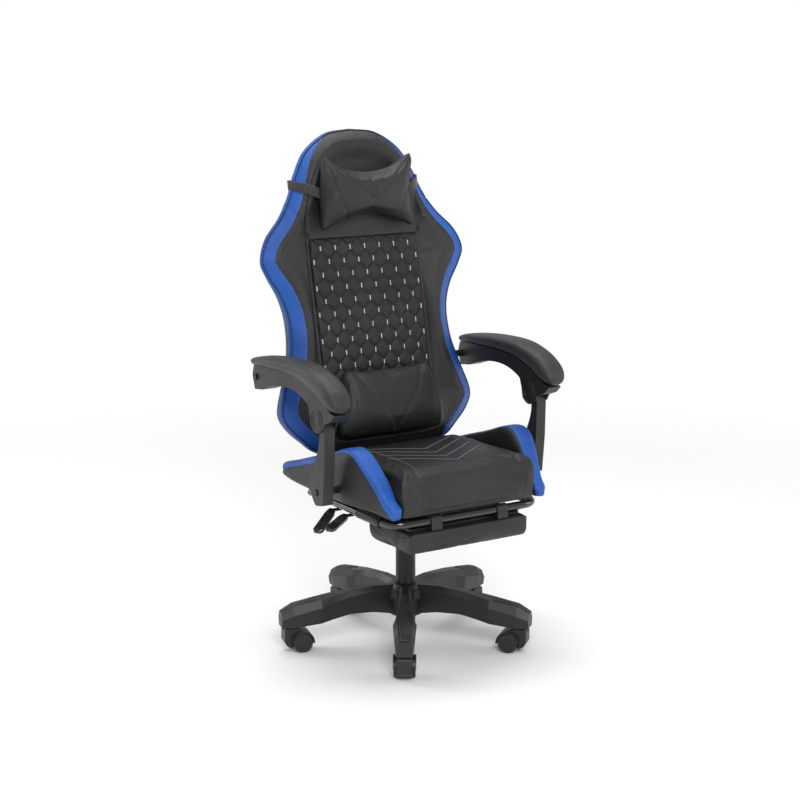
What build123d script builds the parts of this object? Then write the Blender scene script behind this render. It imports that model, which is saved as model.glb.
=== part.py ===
from build123d import *
from math import cos, sin, radians
import os

# Reclining chair on a five-arm castor base, with linkage armrests and a slide-out footrest.
# Millimetres. +Z is up, -Y is the front, +X is the sitter's left. The origin is on the floor
# under the gas lift.

# ---- driving dimensions: base and castors
LEG_COUNT = 5
FRONT_LEG_ANGLE = -123.1        # direction of leg 1, seen from above
STEM_RADIUS = 300               # castor stems from the lift's axis
HUB_TOP = 150
HUB_BOTTOM = 72
WHEEL_R = 25
WHEEL_WIDTH = 20
CASTER_TRAIL = 25               # axle behind the stem
CASTER_TOP = 61.5
STEM_R = 5.5
AXLE_R = 4
RUNNING = 0.05                  # radial clearance of every running fit
POCKET_R = WHEEL_R + 1.6
WEB_HALF = 6                    # half the hood's middle wall

# ---- driving dimensions: gas lift
TUBE_R = 25
TUBE_WALL = 2
TUBE_BOTTOM = 45
TUBE_TOP = 290
ROD_R = 5
CYLINDER_R = 14
CYLINDER_BOTTOM = 150
CYLINDER_TOP = 399
SOCKET_LOW = 371.5              # lower end of the seat's socket, 81.5 above the tube
BUTTON_R = 4

# ---- driving dimensions: seat
BOARD_BOTTOM = 405
BOARD_TOP = 417
SEAT_HALF = 190                 # half the middle cushion's width
BOLSTER_INNER = 194.4           # leaves room for the armrest ears
SEAT_FRONT = -290
SEAT_REAR = 150
SEAT_TOP = 511
SEAT_WIDE = 267                 # half the width over the side bolsters
BOLSTER_TIP = 222               # the same at the front tips

# ---- driving dimensions: back, drawn flat on its own leaning plane
BACK_BOTTOM = 475               # height of the lower edge
BACK_BOTTOM_Y = 99.6
BACK_SLOPE = 0.2                # rearward lean for each unit of height
SHELL_BACK = -40                # rear surface of the shell behind the plane
SHELL_FRONT = -12
BOLSTER_RISE = 28
PAD_HALF = 172

# ---- driving dimensions: armrest linkage, an exact parallelogram seen from the side (y, z)
LOWER_BOLT = (-110, 454)
ARM_PIVOT = (-124, 631)
REAR_BOLT = (172, 687)
HINGE = (LOWER_BOLT[0] + REAR_BOLT[0] - ARM_PIVOT[0], LOWER_BOLT[1] + REAR_BOLT[1] - ARM_PIVOT[1])
ARM_INNER = 288                 # armrest frame between these two planes
ARM_OUTER = 326
UPRIGHT_INNER = 293
UPRIGHT_OUTER = 321
ARM_PAD_INNER = 272
ARM_PAD_OUTER = 345
BOLT_R = 5

# ---- driving dimensions: footrest
RAIL_R = 10
RAIL_X = 210
RAIL_FRONT = -274
RAIL_REAR = 110
RAIL_Z = 392
RAIL_BEND = 45
FOOT_HALF = 170
FOOT_REAR = -95
FOOT_TOP = 370
FOOT_BOTTOM = 323

# ---- driving dimensions: levers
LEVER_Z = 364
LEVER_ROD_R = 4
LEVER_PIVOT_X = -52
LEVER_ROOT_X = -202
LEVERS = {"height": (20, -17, 326), "recline": (-43, -82, 350)}   # rod y, tip y, tip z

SIDES = {"left": 1, "right": -1}


def save(builder, name):
    """Label the finished piece and write its file."""
    builder.part.label = name
    export_step(builder.part, f"parts/{name}.step")


def across(near, far, sign):
    """Plane for a side profile drawn as (y, z) that is extruded across x from near to far."""
    return Plane.YZ.offset(near if sign > 0 else -far)


def outline(points, mode=Mode.ADD):
    """Closed straight-sided face through the points, on the current sketch plane."""
    Polygon(*points, align=None, mode=mode)


def polar(radius, angle, height=0):
    return (radius * cos(radians(angle)), radius * sin(radians(angle)), height)


os.makedirs("parts", exist_ok=True)

# ======== star base
# Each leg is a faceted beam through six-sided sections across it. A row gives the distance from
# the axis, then height and half-width of its bottom, of its widest line and of its top.
LEG_SECTIONS = [
    (20, 74, 20, 134, 19, 150, 9),
    (90, 85, 18, 139, 18, 151, 9),
    (150, 86, 18, 131, 19, 144, 12),
    (195, 77, 20, 120, 22, 137, 17),
    (226, 71, 25, 112, 29, 131, 20),
    (296, 64, 22, 97, 25, 120, 15),
    (327, 66, 18, 86, 21, 104, 12),
]
LEG_WALL = 4
SOCKET_R = 14


def leg_plane(row, angle):
    return Plane(origin=polar(row[0], angle), x_dir=polar(1, angle + 90), z_dir=polar(1, angle))


def leg_section(row, wall):
    """Six-sided section of a leg, or of the hollow under it when wall is more than zero."""
    low, low_w, mid, mid_w, top, top_w = row[1:]
    if wall:
        low = low - 30
    return [
        (-low_w + wall, low), (low_w - wall, low), (mid_w - wall, mid - wall),
        (top_w - wall, top - wall), (-top_w + wall, top - wall), (-mid_w + wall, mid - wall),
    ]


def star_base():
    with BuildPart() as base:
        for leg in range(LEG_COUNT):
            angle = FRONT_LEG_ANGLE + leg * 360 / LEG_COUNT
            for row in LEG_SECTIONS:
                with BuildSketch(leg_plane(row, angle)):
                    outline(leg_section(row, 0))
            loft(ruled=True)
        with BuildSketch(Plane.XY.offset(HUB_BOTTOM)):
            Circle(42)
        extrude(amount=HUB_TOP - HUB_BOTTOM - 14)
        with BuildSketch(Plane.XY.offset(HUB_TOP - 14)):
            Circle(46)
        extrude(amount=14, taper=35)
        for leg in range(LEG_COUNT):
            angle = FRONT_LEG_ANGLE + (leg + 0.5) * 360 / LEG_COUNT
            block = Plane(origin=polar(38, angle, 118), x_dir=polar(1, angle))
            with BuildSketch(block):
                Rectangle(26, 24)
            extrude(amount=22, taper=8)
        for leg in range(LEG_COUNT):
            angle = FRONT_LEG_ANGLE + leg * 360 / LEG_COUNT
            for row in LEG_SECTIONS[1:6]:
                with BuildSketch(leg_plane(row, angle)):
                    outline(leg_section(row, LEG_WALL))
            loft(ruled=True, mode=Mode.SUBTRACT)
            with BuildSketch(Plane(origin=polar(STEM_RADIUS, angle, 64), x_dir=polar(1, angle))):
                Circle(SOCKET_R)
            extrude(amount=38)
            for rib in (125, 180, 240):
                with BuildSketch(Plane(origin=polar(rib, angle, 90), x_dir=polar(1, angle))):
                    Rectangle(4, 34)
                extrude(amount=30)
            with BuildSketch(Plane(origin=polar(STEM_RADIUS, angle, 60), x_dir=polar(1, angle))):
                Circle(STEM_R + RUNNING)
            extrude(amount=36, mode=Mode.SUBTRACT)
        with BuildSketch(Plane.XY.offset(HUB_BOTTOM - 5)):
            Circle(TUBE_R + RUNNING)
        extrude(amount=HUB_TOP, mode=Mode.SUBTRACT)
    save(base, "star_base")


# ======== castors
def axle_plane(leg, shift=0):
    """Plane across a castor's axle: local x points out along the leg, local y up."""
    angle = FRONT_LEG_ANGLE + leg * 360 / LEG_COUNT
    centre = polar(STEM_RADIUS - CASTER_TRAIL, angle, WHEEL_R)
    facing = polar(1, angle - 90)
    return Plane(origin=centre, x_dir=polar(1, angle), z_dir=facing).offset(shift)


def stem_plane(leg, height):
    angle = FRONT_LEG_ANGLE + leg * 360 / LEG_COUNT
    return Plane(origin=polar(STEM_RADIUS, angle, height), x_dir=polar(1, angle))


def caster_hood(leg):
    top = CASTER_TOP - WHEEL_R
    with BuildPart() as hood:
        with BuildSketch(axle_plane(leg)):
            outline([
                (-16, -8), (-18, 12), (4, 31), (8, top), (41, top), (46, 30), (46, 4), (40, -7),
                (28, -15), (0, -12),
            ])
        extrude(amount=19, both=True)
        with BuildSketch(axle_plane(leg)):
            Circle(POCKET_R + 3)
            Circle(POCKET_R, mode=Mode.SUBTRACT)
            outline([(0, 0), (-60, -6), (-60, -60), (60, -60), (60, 12)], Mode.SUBTRACT)
        extrude(amount=WEB_HALF + WHEEL_WIDTH + 2, both=True)
        for shift in (WEB_HALF, -WEB_HALF - 40):
            with BuildSketch(axle_plane(leg, shift)):
                Circle(POCKET_R)
            extrude(amount=40, mode=Mode.SUBTRACT)
        with BuildSketch(axle_plane(leg)):
            Circle(AXLE_R)
        extrude(amount=WEB_HALF, both=True, mode=Mode.SUBTRACT)
        with BuildSketch(stem_plane(leg, WHEEL_R + 9)):
            Circle(STEM_R)
        extrude(amount=60, mode=Mode.SUBTRACT)
    save(hood, f"caster_{leg + 1}_hood")


def caster_pins(leg):
    """Steel stem with its flange, and the axle that the wheels turn on."""
    with BuildPart() as pins:
        with BuildSketch(stem_plane(leg, WHEEL_R + 9)):
            Circle(STEM_R)
        extrude(amount=60)
        with BuildSketch(stem_plane(leg, CASTER_TOP)):
            Circle(9)
        extrude(amount=2)
        with BuildSketch(axle_plane(leg)):
            Circle(AXLE_R)
        extrude(amount=WEB_HALF + WHEEL_WIDTH - 4, both=True)
    save(pins, f"caster_{leg + 1}_pins")


def caster_wheel(leg, name, sign):
    inner = WEB_HALF + 0.6
    with BuildPart() as wheel:
        with BuildSketch(axle_plane(leg, inner if sign > 0 else -inner - WHEEL_WIDTH)):
            Circle(WHEEL_R)
        extrude(amount=WHEEL_WIDTH)
        chamfer(wheel.edges().filter_by(GeomType.CIRCLE), length=1.8)
        with BuildSketch(axle_plane(leg, inner if sign > 0 else -inner - WHEEL_WIDTH + 3)):
            Circle(AXLE_R + RUNNING)
        extrude(amount=WHEEL_WIDTH - 3, mode=Mode.SUBTRACT)
        face_shift = inner + WHEEL_WIDTH - 1.5 if sign > 0 else -inner - WHEEL_WIDTH
        with BuildSketch(axle_plane(leg, face_shift)):
            Circle(19)
            Circle(9, mode=Mode.SUBTRACT)
        extrude(amount=1.5, mode=Mode.SUBTRACT)
    save(wheel, f"caster_{leg + 1}_wheel_{name}")


# ======== gas lift
def ring(name, low, high, outer, inner):
    """Plain upright tube between two heights, round the lift's axis."""
    with BuildPart() as tube:
        with BuildSketch(Plane.XY.offset(low)):
            Circle(outer)
            Circle(inner, mode=Mode.SUBTRACT)
        extrude(amount=high - low)
    save(tube, name)


def gas_lift_tube():
    with BuildPart() as tube:
        with BuildSketch(Plane.XY.offset(TUBE_BOTTOM)):
            Circle(TUBE_R)
        extrude(amount=TUBE_TOP - TUBE_BOTTOM)
        with BuildSketch(Plane.XY.offset(TUBE_BOTTOM + 3)):
            Circle(TUBE_R - TUBE_WALL)
        extrude(amount=TUBE_TOP, mode=Mode.SUBTRACT)
        with BuildSketch(Plane.XY.offset(TUBE_BOTTOM)):
            Circle(ROD_R + RUNNING)
        extrude(amount=3, mode=Mode.SUBTRACT)
    save(tube, "gas_lift_tube")


def gas_lift_rod():
    """Piston rod with its lower clip, its shoulder on the thrust bearing, and the piston."""
    piston = CYLINDER_BOTTOM + 8
    steps = [
        (TUBE_BOTTOM - 3.05, 3, ROD_R + 4),
        (TUBE_BOTTOM - 3.05, piston - TUBE_BOTTOM + 3.05, ROD_R),
        (54, 2, ROD_R + 4),
        (piston, 12, CYLINDER_R - 1.5 - RUNNING),
    ]
    with BuildPart() as rod:
        for low, tall, radius in steps:
            with BuildSketch(Plane.XY.offset(low)):
                Circle(radius)
            extrude(amount=tall)
    save(rod, "gas_lift_rod")


def gas_lift_cylinder():
    with BuildPart() as cylinder:
        with BuildSketch(Plane.XY.offset(CYLINDER_BOTTOM)):
            Circle(CYLINDER_R)
        extrude(amount=CYLINDER_TOP - CYLINDER_BOTTOM)
        with BuildSketch(Plane.XY.offset(CYLINDER_BOTTOM + 7)):
            Circle(CYLINDER_R - 1.5)
        extrude(amount=120, mode=Mode.SUBTRACT)
        with BuildSketch(Plane.XY.offset(CYLINDER_BOTTOM)):
            Circle(ROD_R + RUNNING)
        extrude(amount=7, mode=Mode.SUBTRACT)
        with BuildSketch(Plane.XY.offset(CYLINDER_TOP - 14)):
            Circle(BUTTON_R + RUNNING)
        extrude(amount=14, mode=Mode.SUBTRACT)
    save(cylinder, "gas_lift_cylinder")


def release_button():
    with BuildPart() as button:
        with BuildSketch(Plane.XY.offset(CYLINDER_TOP - 8)):
            Circle(BUTTON_R)
        extrude(amount=12.5)
    save(button, "release_button")


# ======== seat structure
def seat_mechanism():
    """Folded steel box with the lift's socket, its top plate, and lugs for the two levers."""
    with BuildPart() as box:
        with BuildSketch(Plane.XY.offset(355)):
            Rectangle(84, 122)
        extrude(amount=46)
        with BuildSketch(Plane.XY.offset(352)):
            Rectangle(78, 116)
        extrude(amount=46, mode=Mode.SUBTRACT)
        with BuildSketch(Plane.XY.offset(SOCKET_LOW)):
            Circle(20)
        extrude(amount=401 - SOCKET_LOW)
        with BuildSketch(Plane.XY.offset(401)):
            with Locations((0, 5)):
                RectangleRounded(190, 210, 12)
            with Locations((0, 5)):
                with GridLocations(160, 176, 2, 2):
                    Circle(4.2, mode=Mode.SUBTRACT)
        extrude(amount=4)
        with BuildSketch(Plane.XY.offset(350)):
            Circle(CYLINDER_R + RUNNING)
        extrude(amount=60, mode=Mode.SUBTRACT)
        for rod_y, tip_y, tip_z in LEVERS.values():
            for ear in (-9, 9):
                with BuildSketch(Plane.XZ.offset(-rod_y - ear - 2)):
                    with Locations((-50, LEVER_Z)):
                        Rectangle(18, 14)
                    with Locations((LEVER_PIVOT_X, LEVER_Z)):
                        Circle(3, mode=Mode.SUBTRACT)
                extrude(amount=4)
            with BuildSketch(Plane.XZ.offset(-rod_y - 11)):
                with Locations((LEVER_PIVOT_X, LEVER_Z)):
                    Circle(3)
            extrude(amount=22)
    save(box, "seat_mechanism")


def mechanism_bolts():
    with BuildPart() as bolts:
        with BuildSketch(Plane.XY.offset(396)):
            with Locations((0, 5)):
                with GridLocations(160, 176, 2, 2):
                    RegularPolygon(6, 6)
        extrude(amount=5)
        with BuildSketch(Plane.XY.offset(396)):
            with Locations((0, 5)):
                with GridLocations(160, 176, 2, 2):
                    Circle(4)
        extrude(amount=19)
    save(bolts, "mechanism_bolts")


def seat_board():
    with BuildPart() as board:
        with BuildSketch(Plane.XY.offset(BOARD_BOTTOM)):
            with Locations((0, -62)):
                RectangleRounded(376, 412, 20)
            with Locations((0, 5)):
                with GridLocations(160, 176, 2, 2):
                    Circle(4.1, mode=Mode.SUBTRACT)
        extrude(amount=BOARD_TOP - BOARD_BOTTOM)
        for sign in SIDES.values():
            with BuildSketch(across(SEAT_HALF + 0.4, BOLSTER_INNER - 0.4, sign)):
                outline([(-145, BOARD_BOTTOM), (-75, BOARD_BOTTOM), (-90, 474), (-130, 474)])
                with Locations(LOWER_BOLT):
                    Circle(BOLT_R, mode=Mode.SUBTRACT)
            extrude(amount=BOLSTER_INNER - SEAT_HALF - 0.8)
            with BuildSketch(across(180, BOLSTER_INNER - 0.4, sign)):
                outline([(-145, BOARD_BOTTOM), (-75, BOARD_BOTTOM), (-75, BOARD_TOP), (-145, BOARD_TOP)])
            extrude(amount=BOLSTER_INNER - 0.4 - 180)
    save(board, "seat_board")


def seat_cushion():
    with BuildPart() as cushion:
        with BuildSketch(Plane.YZ.offset(-SEAT_HALF)):
            outline([
                (SEAT_FRONT + 4, BOARD_TOP + 0.3), (SEAT_FRONT, 450), (SEAT_FRONT + 2, 492),
                (SEAT_FRONT + 16, SEAT_TOP), (-70, SEAT_TOP), (50, 494), (70, 486), (84, 470),
                (SEAT_REAR, 462), (SEAT_REAR, BOARD_TOP + 0.3),
            ])
        extrude(amount=2 * SEAT_HALF)
    save(cushion, "seat_cushion")


def seat_bolster(name, sign):
    """Side wing of the seat: its crest is beside the thigh, and it tapers to a tip at the front."""
    with BuildPart() as bolster:
        with BuildSketch(across(BOLSTER_INNER, SEAT_WIDE, sign)):
            outline([
                (157, 430), (157, 464), (-60, 530), (-140, 558), (-168, 560), (-205, 545), (-240, 512),
                (-268, 468), (-289, 424), (-283, 412), (-215, 419), (60, 422),
            ])
        extrude(amount=SEAT_WIDE - BOLSTER_INNER)
        with BuildSketch(Plane.XY.offset(380)):
            outline([
                (sign * SEAT_WIDE, -150), (sign * (SEAT_WIDE + 40), -150), (sign * (SEAT_WIDE + 40), -320),
                (sign * (BOLSTER_TIP - 8), -320), (sign * BOLSTER_TIP, -289), (sign * (SEAT_WIDE - 9), -215),
            ])
        extrude(amount=220, mode=Mode.SUBTRACT)
        with BuildSketch(Plane.YZ):
            with Locations(LOWER_BOLT):
                Circle(BOLT_R + 4.3)
        extrude(amount=sign * 320, mode=Mode.SUBTRACT)
    save(bolster, f"seat_bolster_{name}")


def recline_hinge_arms():
    """Pair of steel arms from under the board to the recline hinge, behind the cushion."""
    y, z = HINGE
    with BuildPart() as arms:
        for start in (-123, 118):
            with BuildSketch(Plane.YZ.offset(start)):
                outline([
                    (40, 392), (40, BOARD_BOTTOM), (150, BOARD_BOTTOM), (y - 16, z), (y + 16, z),
                    (y + 8, 392),
                ])
                with Locations(HINGE):
                    Circle(16)
            extrude(amount=5)
        with BuildSketch(Plane.XY.offset(392)):
            with Locations((0, 150)):
                Rectangle(236, 24)
        extrude(amount=5)
        with BuildSketch(Plane.YZ.offset(-130)):
            with Locations(HINGE):
                Circle(6)
        extrude(amount=260, mode=Mode.SUBTRACT)
    save(arms, "recline_hinge_arms")


def recline_hinge_pins():
    with BuildPart() as pins:
        for start in (-131, 116):
            with BuildSketch(Plane.YZ.offset(start)):
                with Locations(HINGE):
                    Circle(6)
            extrude(amount=15)
        for start in (-133, 130):
            with BuildSketch(Plane.YZ.offset(start)):
                with Locations(HINGE):
                    Circle(9)
            extrude(amount=3)
    save(pins, "recline_hinge_pins")


def footrest_guides():
    """Sleeve on each side that the footrest's tube slides through, with its tab under the board."""
    with BuildPart() as guides:
        for sign in SIDES.values():
            with BuildSketch(Plane.XZ.offset(125)):
                with Locations((sign * RAIL_X, RAIL_Z)):
                    Circle(RAIL_R + 3)
                with Locations((sign * 188, RAIL_Z + 11.5)):
                    Rectangle(56, 3)
                with Locations((sign * RAIL_X, RAIL_Z)):
                    Circle(RAIL_R + RUNNING, mode=Mode.SUBTRACT)
            extrude(amount=100)
    save(guides, "footrest_guides")


def armrest_lower_bolts():
    """Bolts of the armrests' lower pivots, each with its spacer against the seat's side."""
    with BuildPart() as bolts:
        for sign in SIDES.values():
            spans = [
                (SEAT_HALF + 0.4, UPRIGHT_OUTER + 0.3, BOLT_R), (BOLSTER_INNER, UPRIGHT_INNER - 0.3, 9),
                (UPRIGHT_OUTER + 0.3, UPRIGHT_OUTER + 3, 8),
            ]
            for near, far, radius in spans:
                with BuildSketch(across(near, far, sign)):
                    with Locations(LOWER_BOLT):
                        Circle(radius)
                extrude(amount=far - near)
    save(bolts, "armrest_lower_bolts")


# ======== levers
def lever_rod(name, rod_y):
    with BuildPart() as rod:
        with BuildSketch(Plane.XZ.offset(-rod_y - 6.5)):
            with Locations((LEVER_PIVOT_X, LEVER_Z)):
                Circle(6)
                Circle(3 + RUNNING, mode=Mode.SUBTRACT)
        extrude(amount=13)
        with BuildSketch(Plane.YZ.offset(LEVER_ROOT_X - 12)):
            with Locations((rod_y, LEVER_Z)):
                Circle(LEVER_ROD_R)
        extrude(amount=LEVER_PIVOT_X - 5 - LEVER_ROOT_X + 12)
    save(rod, f"{name}_lever_rod")


def lever_paddle(name, rod_y, tip_y, tip_z):
    """Moulded paddle on the rod's end: a flat tapered blade that droops outwards and forwards."""
    length = 84
    down = Vector(LEVER_ROOT_X - 65 - LEVER_ROOT_X, tip_y - rod_y, tip_z - LEVER_Z)
    flat = Vector(0, 0, 1).cross(down).normalized()
    blade = Plane(origin=(LEVER_ROOT_X, rod_y, LEVER_Z), x_dir=down, z_dir=down.cross(flat))
    with BuildPart() as paddle:
        with BuildSketch(blade.offset(-5)):
            outline([
                (-4, -8), (14, -13), (length - 8, -14), (length, -8), (length, 8), (length - 8, 14),
                (14, 13), (-4, 8),
            ])
        extrude(amount=10)
        chamfer(paddle.faces().sort_by(SortBy.AREA)[-2:].edges(), length=2)
        with BuildSketch(Plane.YZ.offset(LEVER_ROOT_X - 12)):
            with Locations((rod_y, LEVER_Z)):
                Circle(LEVER_ROD_R)
        extrude(amount=40, mode=Mode.SUBTRACT)
    save(paddle, f"{name}_lever_paddle")


# ======== footrest
def footrest_tube():
    with BuildPart() as tube:
        with BuildLine() as path:
            FilletPolyline(
                (-RAIL_X, RAIL_REAR, RAIL_Z), (-RAIL_X, RAIL_FRONT, RAIL_Z), (RAIL_X, RAIL_FRONT, RAIL_Z),
                (RAIL_X, RAIL_REAR, RAIL_Z), radius=RAIL_BEND,
            )
        with BuildSketch(Plane(origin=(-RAIL_X, RAIL_REAR, RAIL_Z), z_dir=(0, -1, 0))):
            Circle(RAIL_R)
            Circle(RAIL_R - 1.5, mode=Mode.SUBTRACT)
        sweep(path=path.line)
    save(tube, "footrest_tube")


def footrest_board():
    """Board inside the footrest's top face, with two clips that turn on the front bar."""
    with BuildPart() as board:
        with BuildSketch(Plane.XY.offset(FOOT_TOP + 0.3)):
            with Locations((0, (FOOT_REAR + RAIL_FRONT) / 2 + 2)):
                RectangleRounded(2 * FOOT_HALF - 20, FOOT_REAR - RAIL_FRONT - 10, 10)
        extrude(amount=5)
        for clip_x in (-110, 80):
            with BuildSketch(Plane.YZ.offset(clip_x)):
                with Locations((RAIL_FRONT, RAIL_Z)):
                    Circle(RAIL_R + 3)
                with Locations((RAIL_FRONT, RAIL_Z - 13)):
                    Rectangle(2 * RAIL_R + 6, 16)
                with Locations((RAIL_FRONT + 10, FOOT_TOP + 4)):
                    Rectangle(44, 6)
                with Locations((RAIL_FRONT, RAIL_Z)):
                    Circle(RAIL_R + RUNNING, mode=Mode.SUBTRACT)
            extrude(amount=30)
    save(board, "footrest_board")


def footrest_pad():
    with BuildPart() as pad:
        with BuildSketch(Plane.XY.offset(FOOT_BOTTOM)):
            with Locations((0, (FOOT_REAR + SEAT_FRONT) / 2)):
                RectangleRounded(2 * FOOT_HALF, FOOT_REAR - SEAT_FRONT, 18)
        extrude(amount=FOOT_TOP - FOOT_BOTTOM)
        chamfer(pad.faces().sort_by(Axis.Z)[0].edges(), length=8)
    save(pad, "footrest_pad")


# ======== back, drawn as (across, up) on its leaning plane
BACK = Plane(
    origin=(0, BACK_BOTTOM_Y, BACK_BOTTOM), x_dir=(1, 0, 0), z_dir=(0, -1, BACK_SLOPE),
)
# Right half of the outline: rounded bottom, wide hip, waist, shoulder wing, neck and domed head.
BACK_EDGE = [
    (0, 0), (120, 1), (188, 14), (228, 44), (266, 82), (283, 125), (262, 196), (240, 270), (236, 345),
    (252, 405), (284, 460), (298, 500), (278, 552), (230, 604), (197, 655), (172, 712), (136, 768),
    (72, 810), (0, 820),
]


def drawn_in(points, inset):
    """The points moved inwards by the inset, each square to the line between its neighbours."""
    moved = [(0, points[0][1] + inset)]
    for before, point, after in zip(points, points[1:], points[2:]):
        run = Vector(after[0] - before[0], after[1] - before[1], 0).normalized()
        moved.append((point[0] - inset * run.Y, point[1] + inset * run.X))
    return moved + [(0, points[-1][1] - inset)]


def back_face(inset):
    """The back's outline, drawn in by an inset: a smooth curve over the right half and its mirror."""
    with BuildSketch() as face:
        with BuildLine():
            Spline(*drawn_in(BACK_EDGE, inset), tangents=[(1, 0), (-1, 0)])
            mirror(about=Plane.YZ)
        make_face()
    return face.sketch


COVER_FACE = back_face(0)
SHELL_FACE = back_face(4)
POCKET_FACE = back_face(30)
FRAME_FACE = back_face(30.5)


def back_shell():
    with BuildPart() as shell:
        with BuildSketch(BACK.offset(SHELL_FRONT)):
            add(SHELL_FACE)
        extrude(amount=SHELL_BACK - SHELL_FRONT)
        with BuildSketch(BACK.offset(-21.5)):
            add(POCKET_FACE)
        extrude(amount=20, mode=Mode.SUBTRACT)
        for sign in SIDES.values():
            with BuildSketch(across(150, 300, sign)):
                with Locations(REAR_BOLT):
                    Circle(4)
            extrude(amount=150, mode=Mode.SUBTRACT)
        with BuildSketch(BACK.offset(SHELL_BACK)):
            with Locations((0, 100)):
                with GridLocations(246, 90, 2, 2):
                    Circle(4)
        extrude(amount=30, mode=Mode.SUBTRACT)
    save(shell, "back_shell")


def back_frame():
    """Inner board with a rim, which the pad and the shell are fixed to."""
    with BuildPart() as frame:
        with BuildSketch(BACK.offset(-20.5)):
            add(FRAME_FACE)
            with Locations((0, 430)):
                RectangleRounded(180, 420, 30, mode=Mode.SUBTRACT)
        extrude(amount=8)
    save(frame, "back_frame")


def back_pad():
    with BuildPart() as pad:
        with BuildSketch(BACK.offset(SHELL_FRONT + 0.2)):
            add(COVER_FACE)
            for sign in SIDES.values():
                corners = [(PAD_HALF, -20), (PAD_HALF, 600), (400, 600), (400, -20)]
                outline([(sign * u, v) for u, v in corners], Mode.SUBTRACT)
        extrude(amount=-SHELL_FRONT + 10)
    save(pad, "back_pad")


def back_bolster(name, sign):
    """Side wing of the back: full rise at its inner ridge, falling to the plane at the outer edge."""
    inner = sign * (PAD_HALF + 0.4)
    far = sign * 400
    beyond = [(inner, -20), (inner, 599.6), (far, 599.6), (far, 900), (-far, 900), (-far, -20)]
    with BuildPart() as bolster:
        with BuildSketch(BACK.offset(SHELL_FRONT + 0.2)):
            add(COVER_FACE)
            outline(beyond, Mode.SUBTRACT)
        extrude(amount=-SHELL_FRONT - 0.2)
        with BuildSketch(BACK):
            add(COVER_FACE)
            outline(beyond, Mode.SUBTRACT)
        extrude(amount=BOLSTER_RISE, taper=40)
    save(bolster, f"back_bolster_{name}")


def back_hinge_plates():
    """Steel plates from the recline hinge up the rear of the shell, joined by a cross bar."""
    rear = BACK.offset(SHELL_BACK)
    up = rear.to_local_coords(Vector(0, *HINGE))
    low = rear.from_local_coords(Vector(0, up.Y + 4, 0))
    high = rear.from_local_coords(Vector(0, up.Y + 120, 0))
    with BuildPart() as plates:
        for start in (-128.3, 123.3):
            with BuildSketch(Plane.YZ.offset(start)):
                with Locations(HINGE):
                    Circle(16)
                outline([
                    (low.Y, low.Z), (HINGE[0] + 12, HINGE[1]), (high.Y + 12, high.Z - 20),
                    (high.Y, high.Z),
                ])
                with Locations(HINGE):
                    Circle(6 + RUNNING, mode=Mode.SUBTRACT)
            extrude(amount=5)
        with BuildSketch(BACK.offset(SHELL_BACK - 4)):
            with Locations((0, up.Y + 62)):
                Rectangle(300, 116)
            with Locations((0, 100)):
                with GridLocations(246, 90, 2, 2):
                    Circle(4, mode=Mode.SUBTRACT)
        extrude(amount=4)
    save(plates, "back_hinge_plates")


def head_pillow():
    with BuildPart() as pillow:
        with BuildSketch(BACK.offset(12.5)):
            with Locations((0, 661)):
                RectangleRounded(268, 176, 14)
        extrude(amount=62, taper=9)
    save(pillow, "head_pillow")


def head_strap():
    """Elastic band round the head section that holds the head pillow."""
    with BuildPart() as strap:
        middle = BACK.from_local_coords(Vector(0, 668, 0))
        with BuildSketch(Plane(origin=middle, x_dir=(1, 0, 0), z_dir=BACK.y_dir)):
            with Locations((0, 15.8)):
                RectangleRounded(404.4, 55.8, 6)
                RectangleRounded(401.4, 52.8, 5, mode=Mode.SUBTRACT)
        extrude(amount=16, both=True)
    save(strap, "head_strap")


def lumbar_pillow():
    with BuildPart() as pillow:
        with BuildSketch(BACK.offset(10.4)):
            with Locations((0, 128)):
                RectangleRounded(300, 172, 24)
        extrude(amount=100, taper=7)
    save(pillow, "lumbar_pillow")


def armrest_rear_bolts():
    """Bolts of the armrests' rear pivots, in the shell's sides, each with its spacer."""
    with BuildPart() as bolts:
        for sign in SIDES.values():
            for near, far, radius in ((200, 331, 4), (262, ARM_INNER - 0.3, 9), (ARM_OUTER + 0.3, 331, 8)):
                with BuildSketch(across(near, far, sign)):
                    with Locations(REAR_BOLT):
                        Circle(radius)
                extrude(amount=far - near)
    save(bolts, "armrest_rear_bolts")


# ======== armrests
def armrest_upright(name, sign):
    """Lower link: narrow neck, swollen foot round the lower bolt, slanted end."""
    with BuildPart() as upright:
        with BuildSketch(across(UPRIGHT_INNER, UPRIGHT_OUTER, sign)):
            with BuildLine():
                Polyline((-109, 422), (-141, 428), (-150, 520), (-152, 610), (-142, 640))
                Line((-142, 640), (-112, 645))
                Line((-112, 645), (-112, 618))
                Line((-112, 618), (-128, 608))
                Spline((-128, 608), (-121, 560), (-96, 510), (-82, 470), (-91, 440), (-109, 422))
            make_face()
            with Locations(ARM_PIVOT):
                Circle(22)
            with Locations(ARM_PIVOT, LOWER_BOLT):
                Circle(BOLT_R + RUNNING, mode=Mode.SUBTRACT)
        extrude(amount=UPRIGHT_OUTER - UPRIGHT_INNER)
    save(upright, f"armrest_{name}_upright")


ARM_UNDER = [
    (184, 716), (90, 720), (20, 721), (-45, 717), (-100, 703), (-150, 682), (-188, 660), (-206, 656),
]


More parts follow.
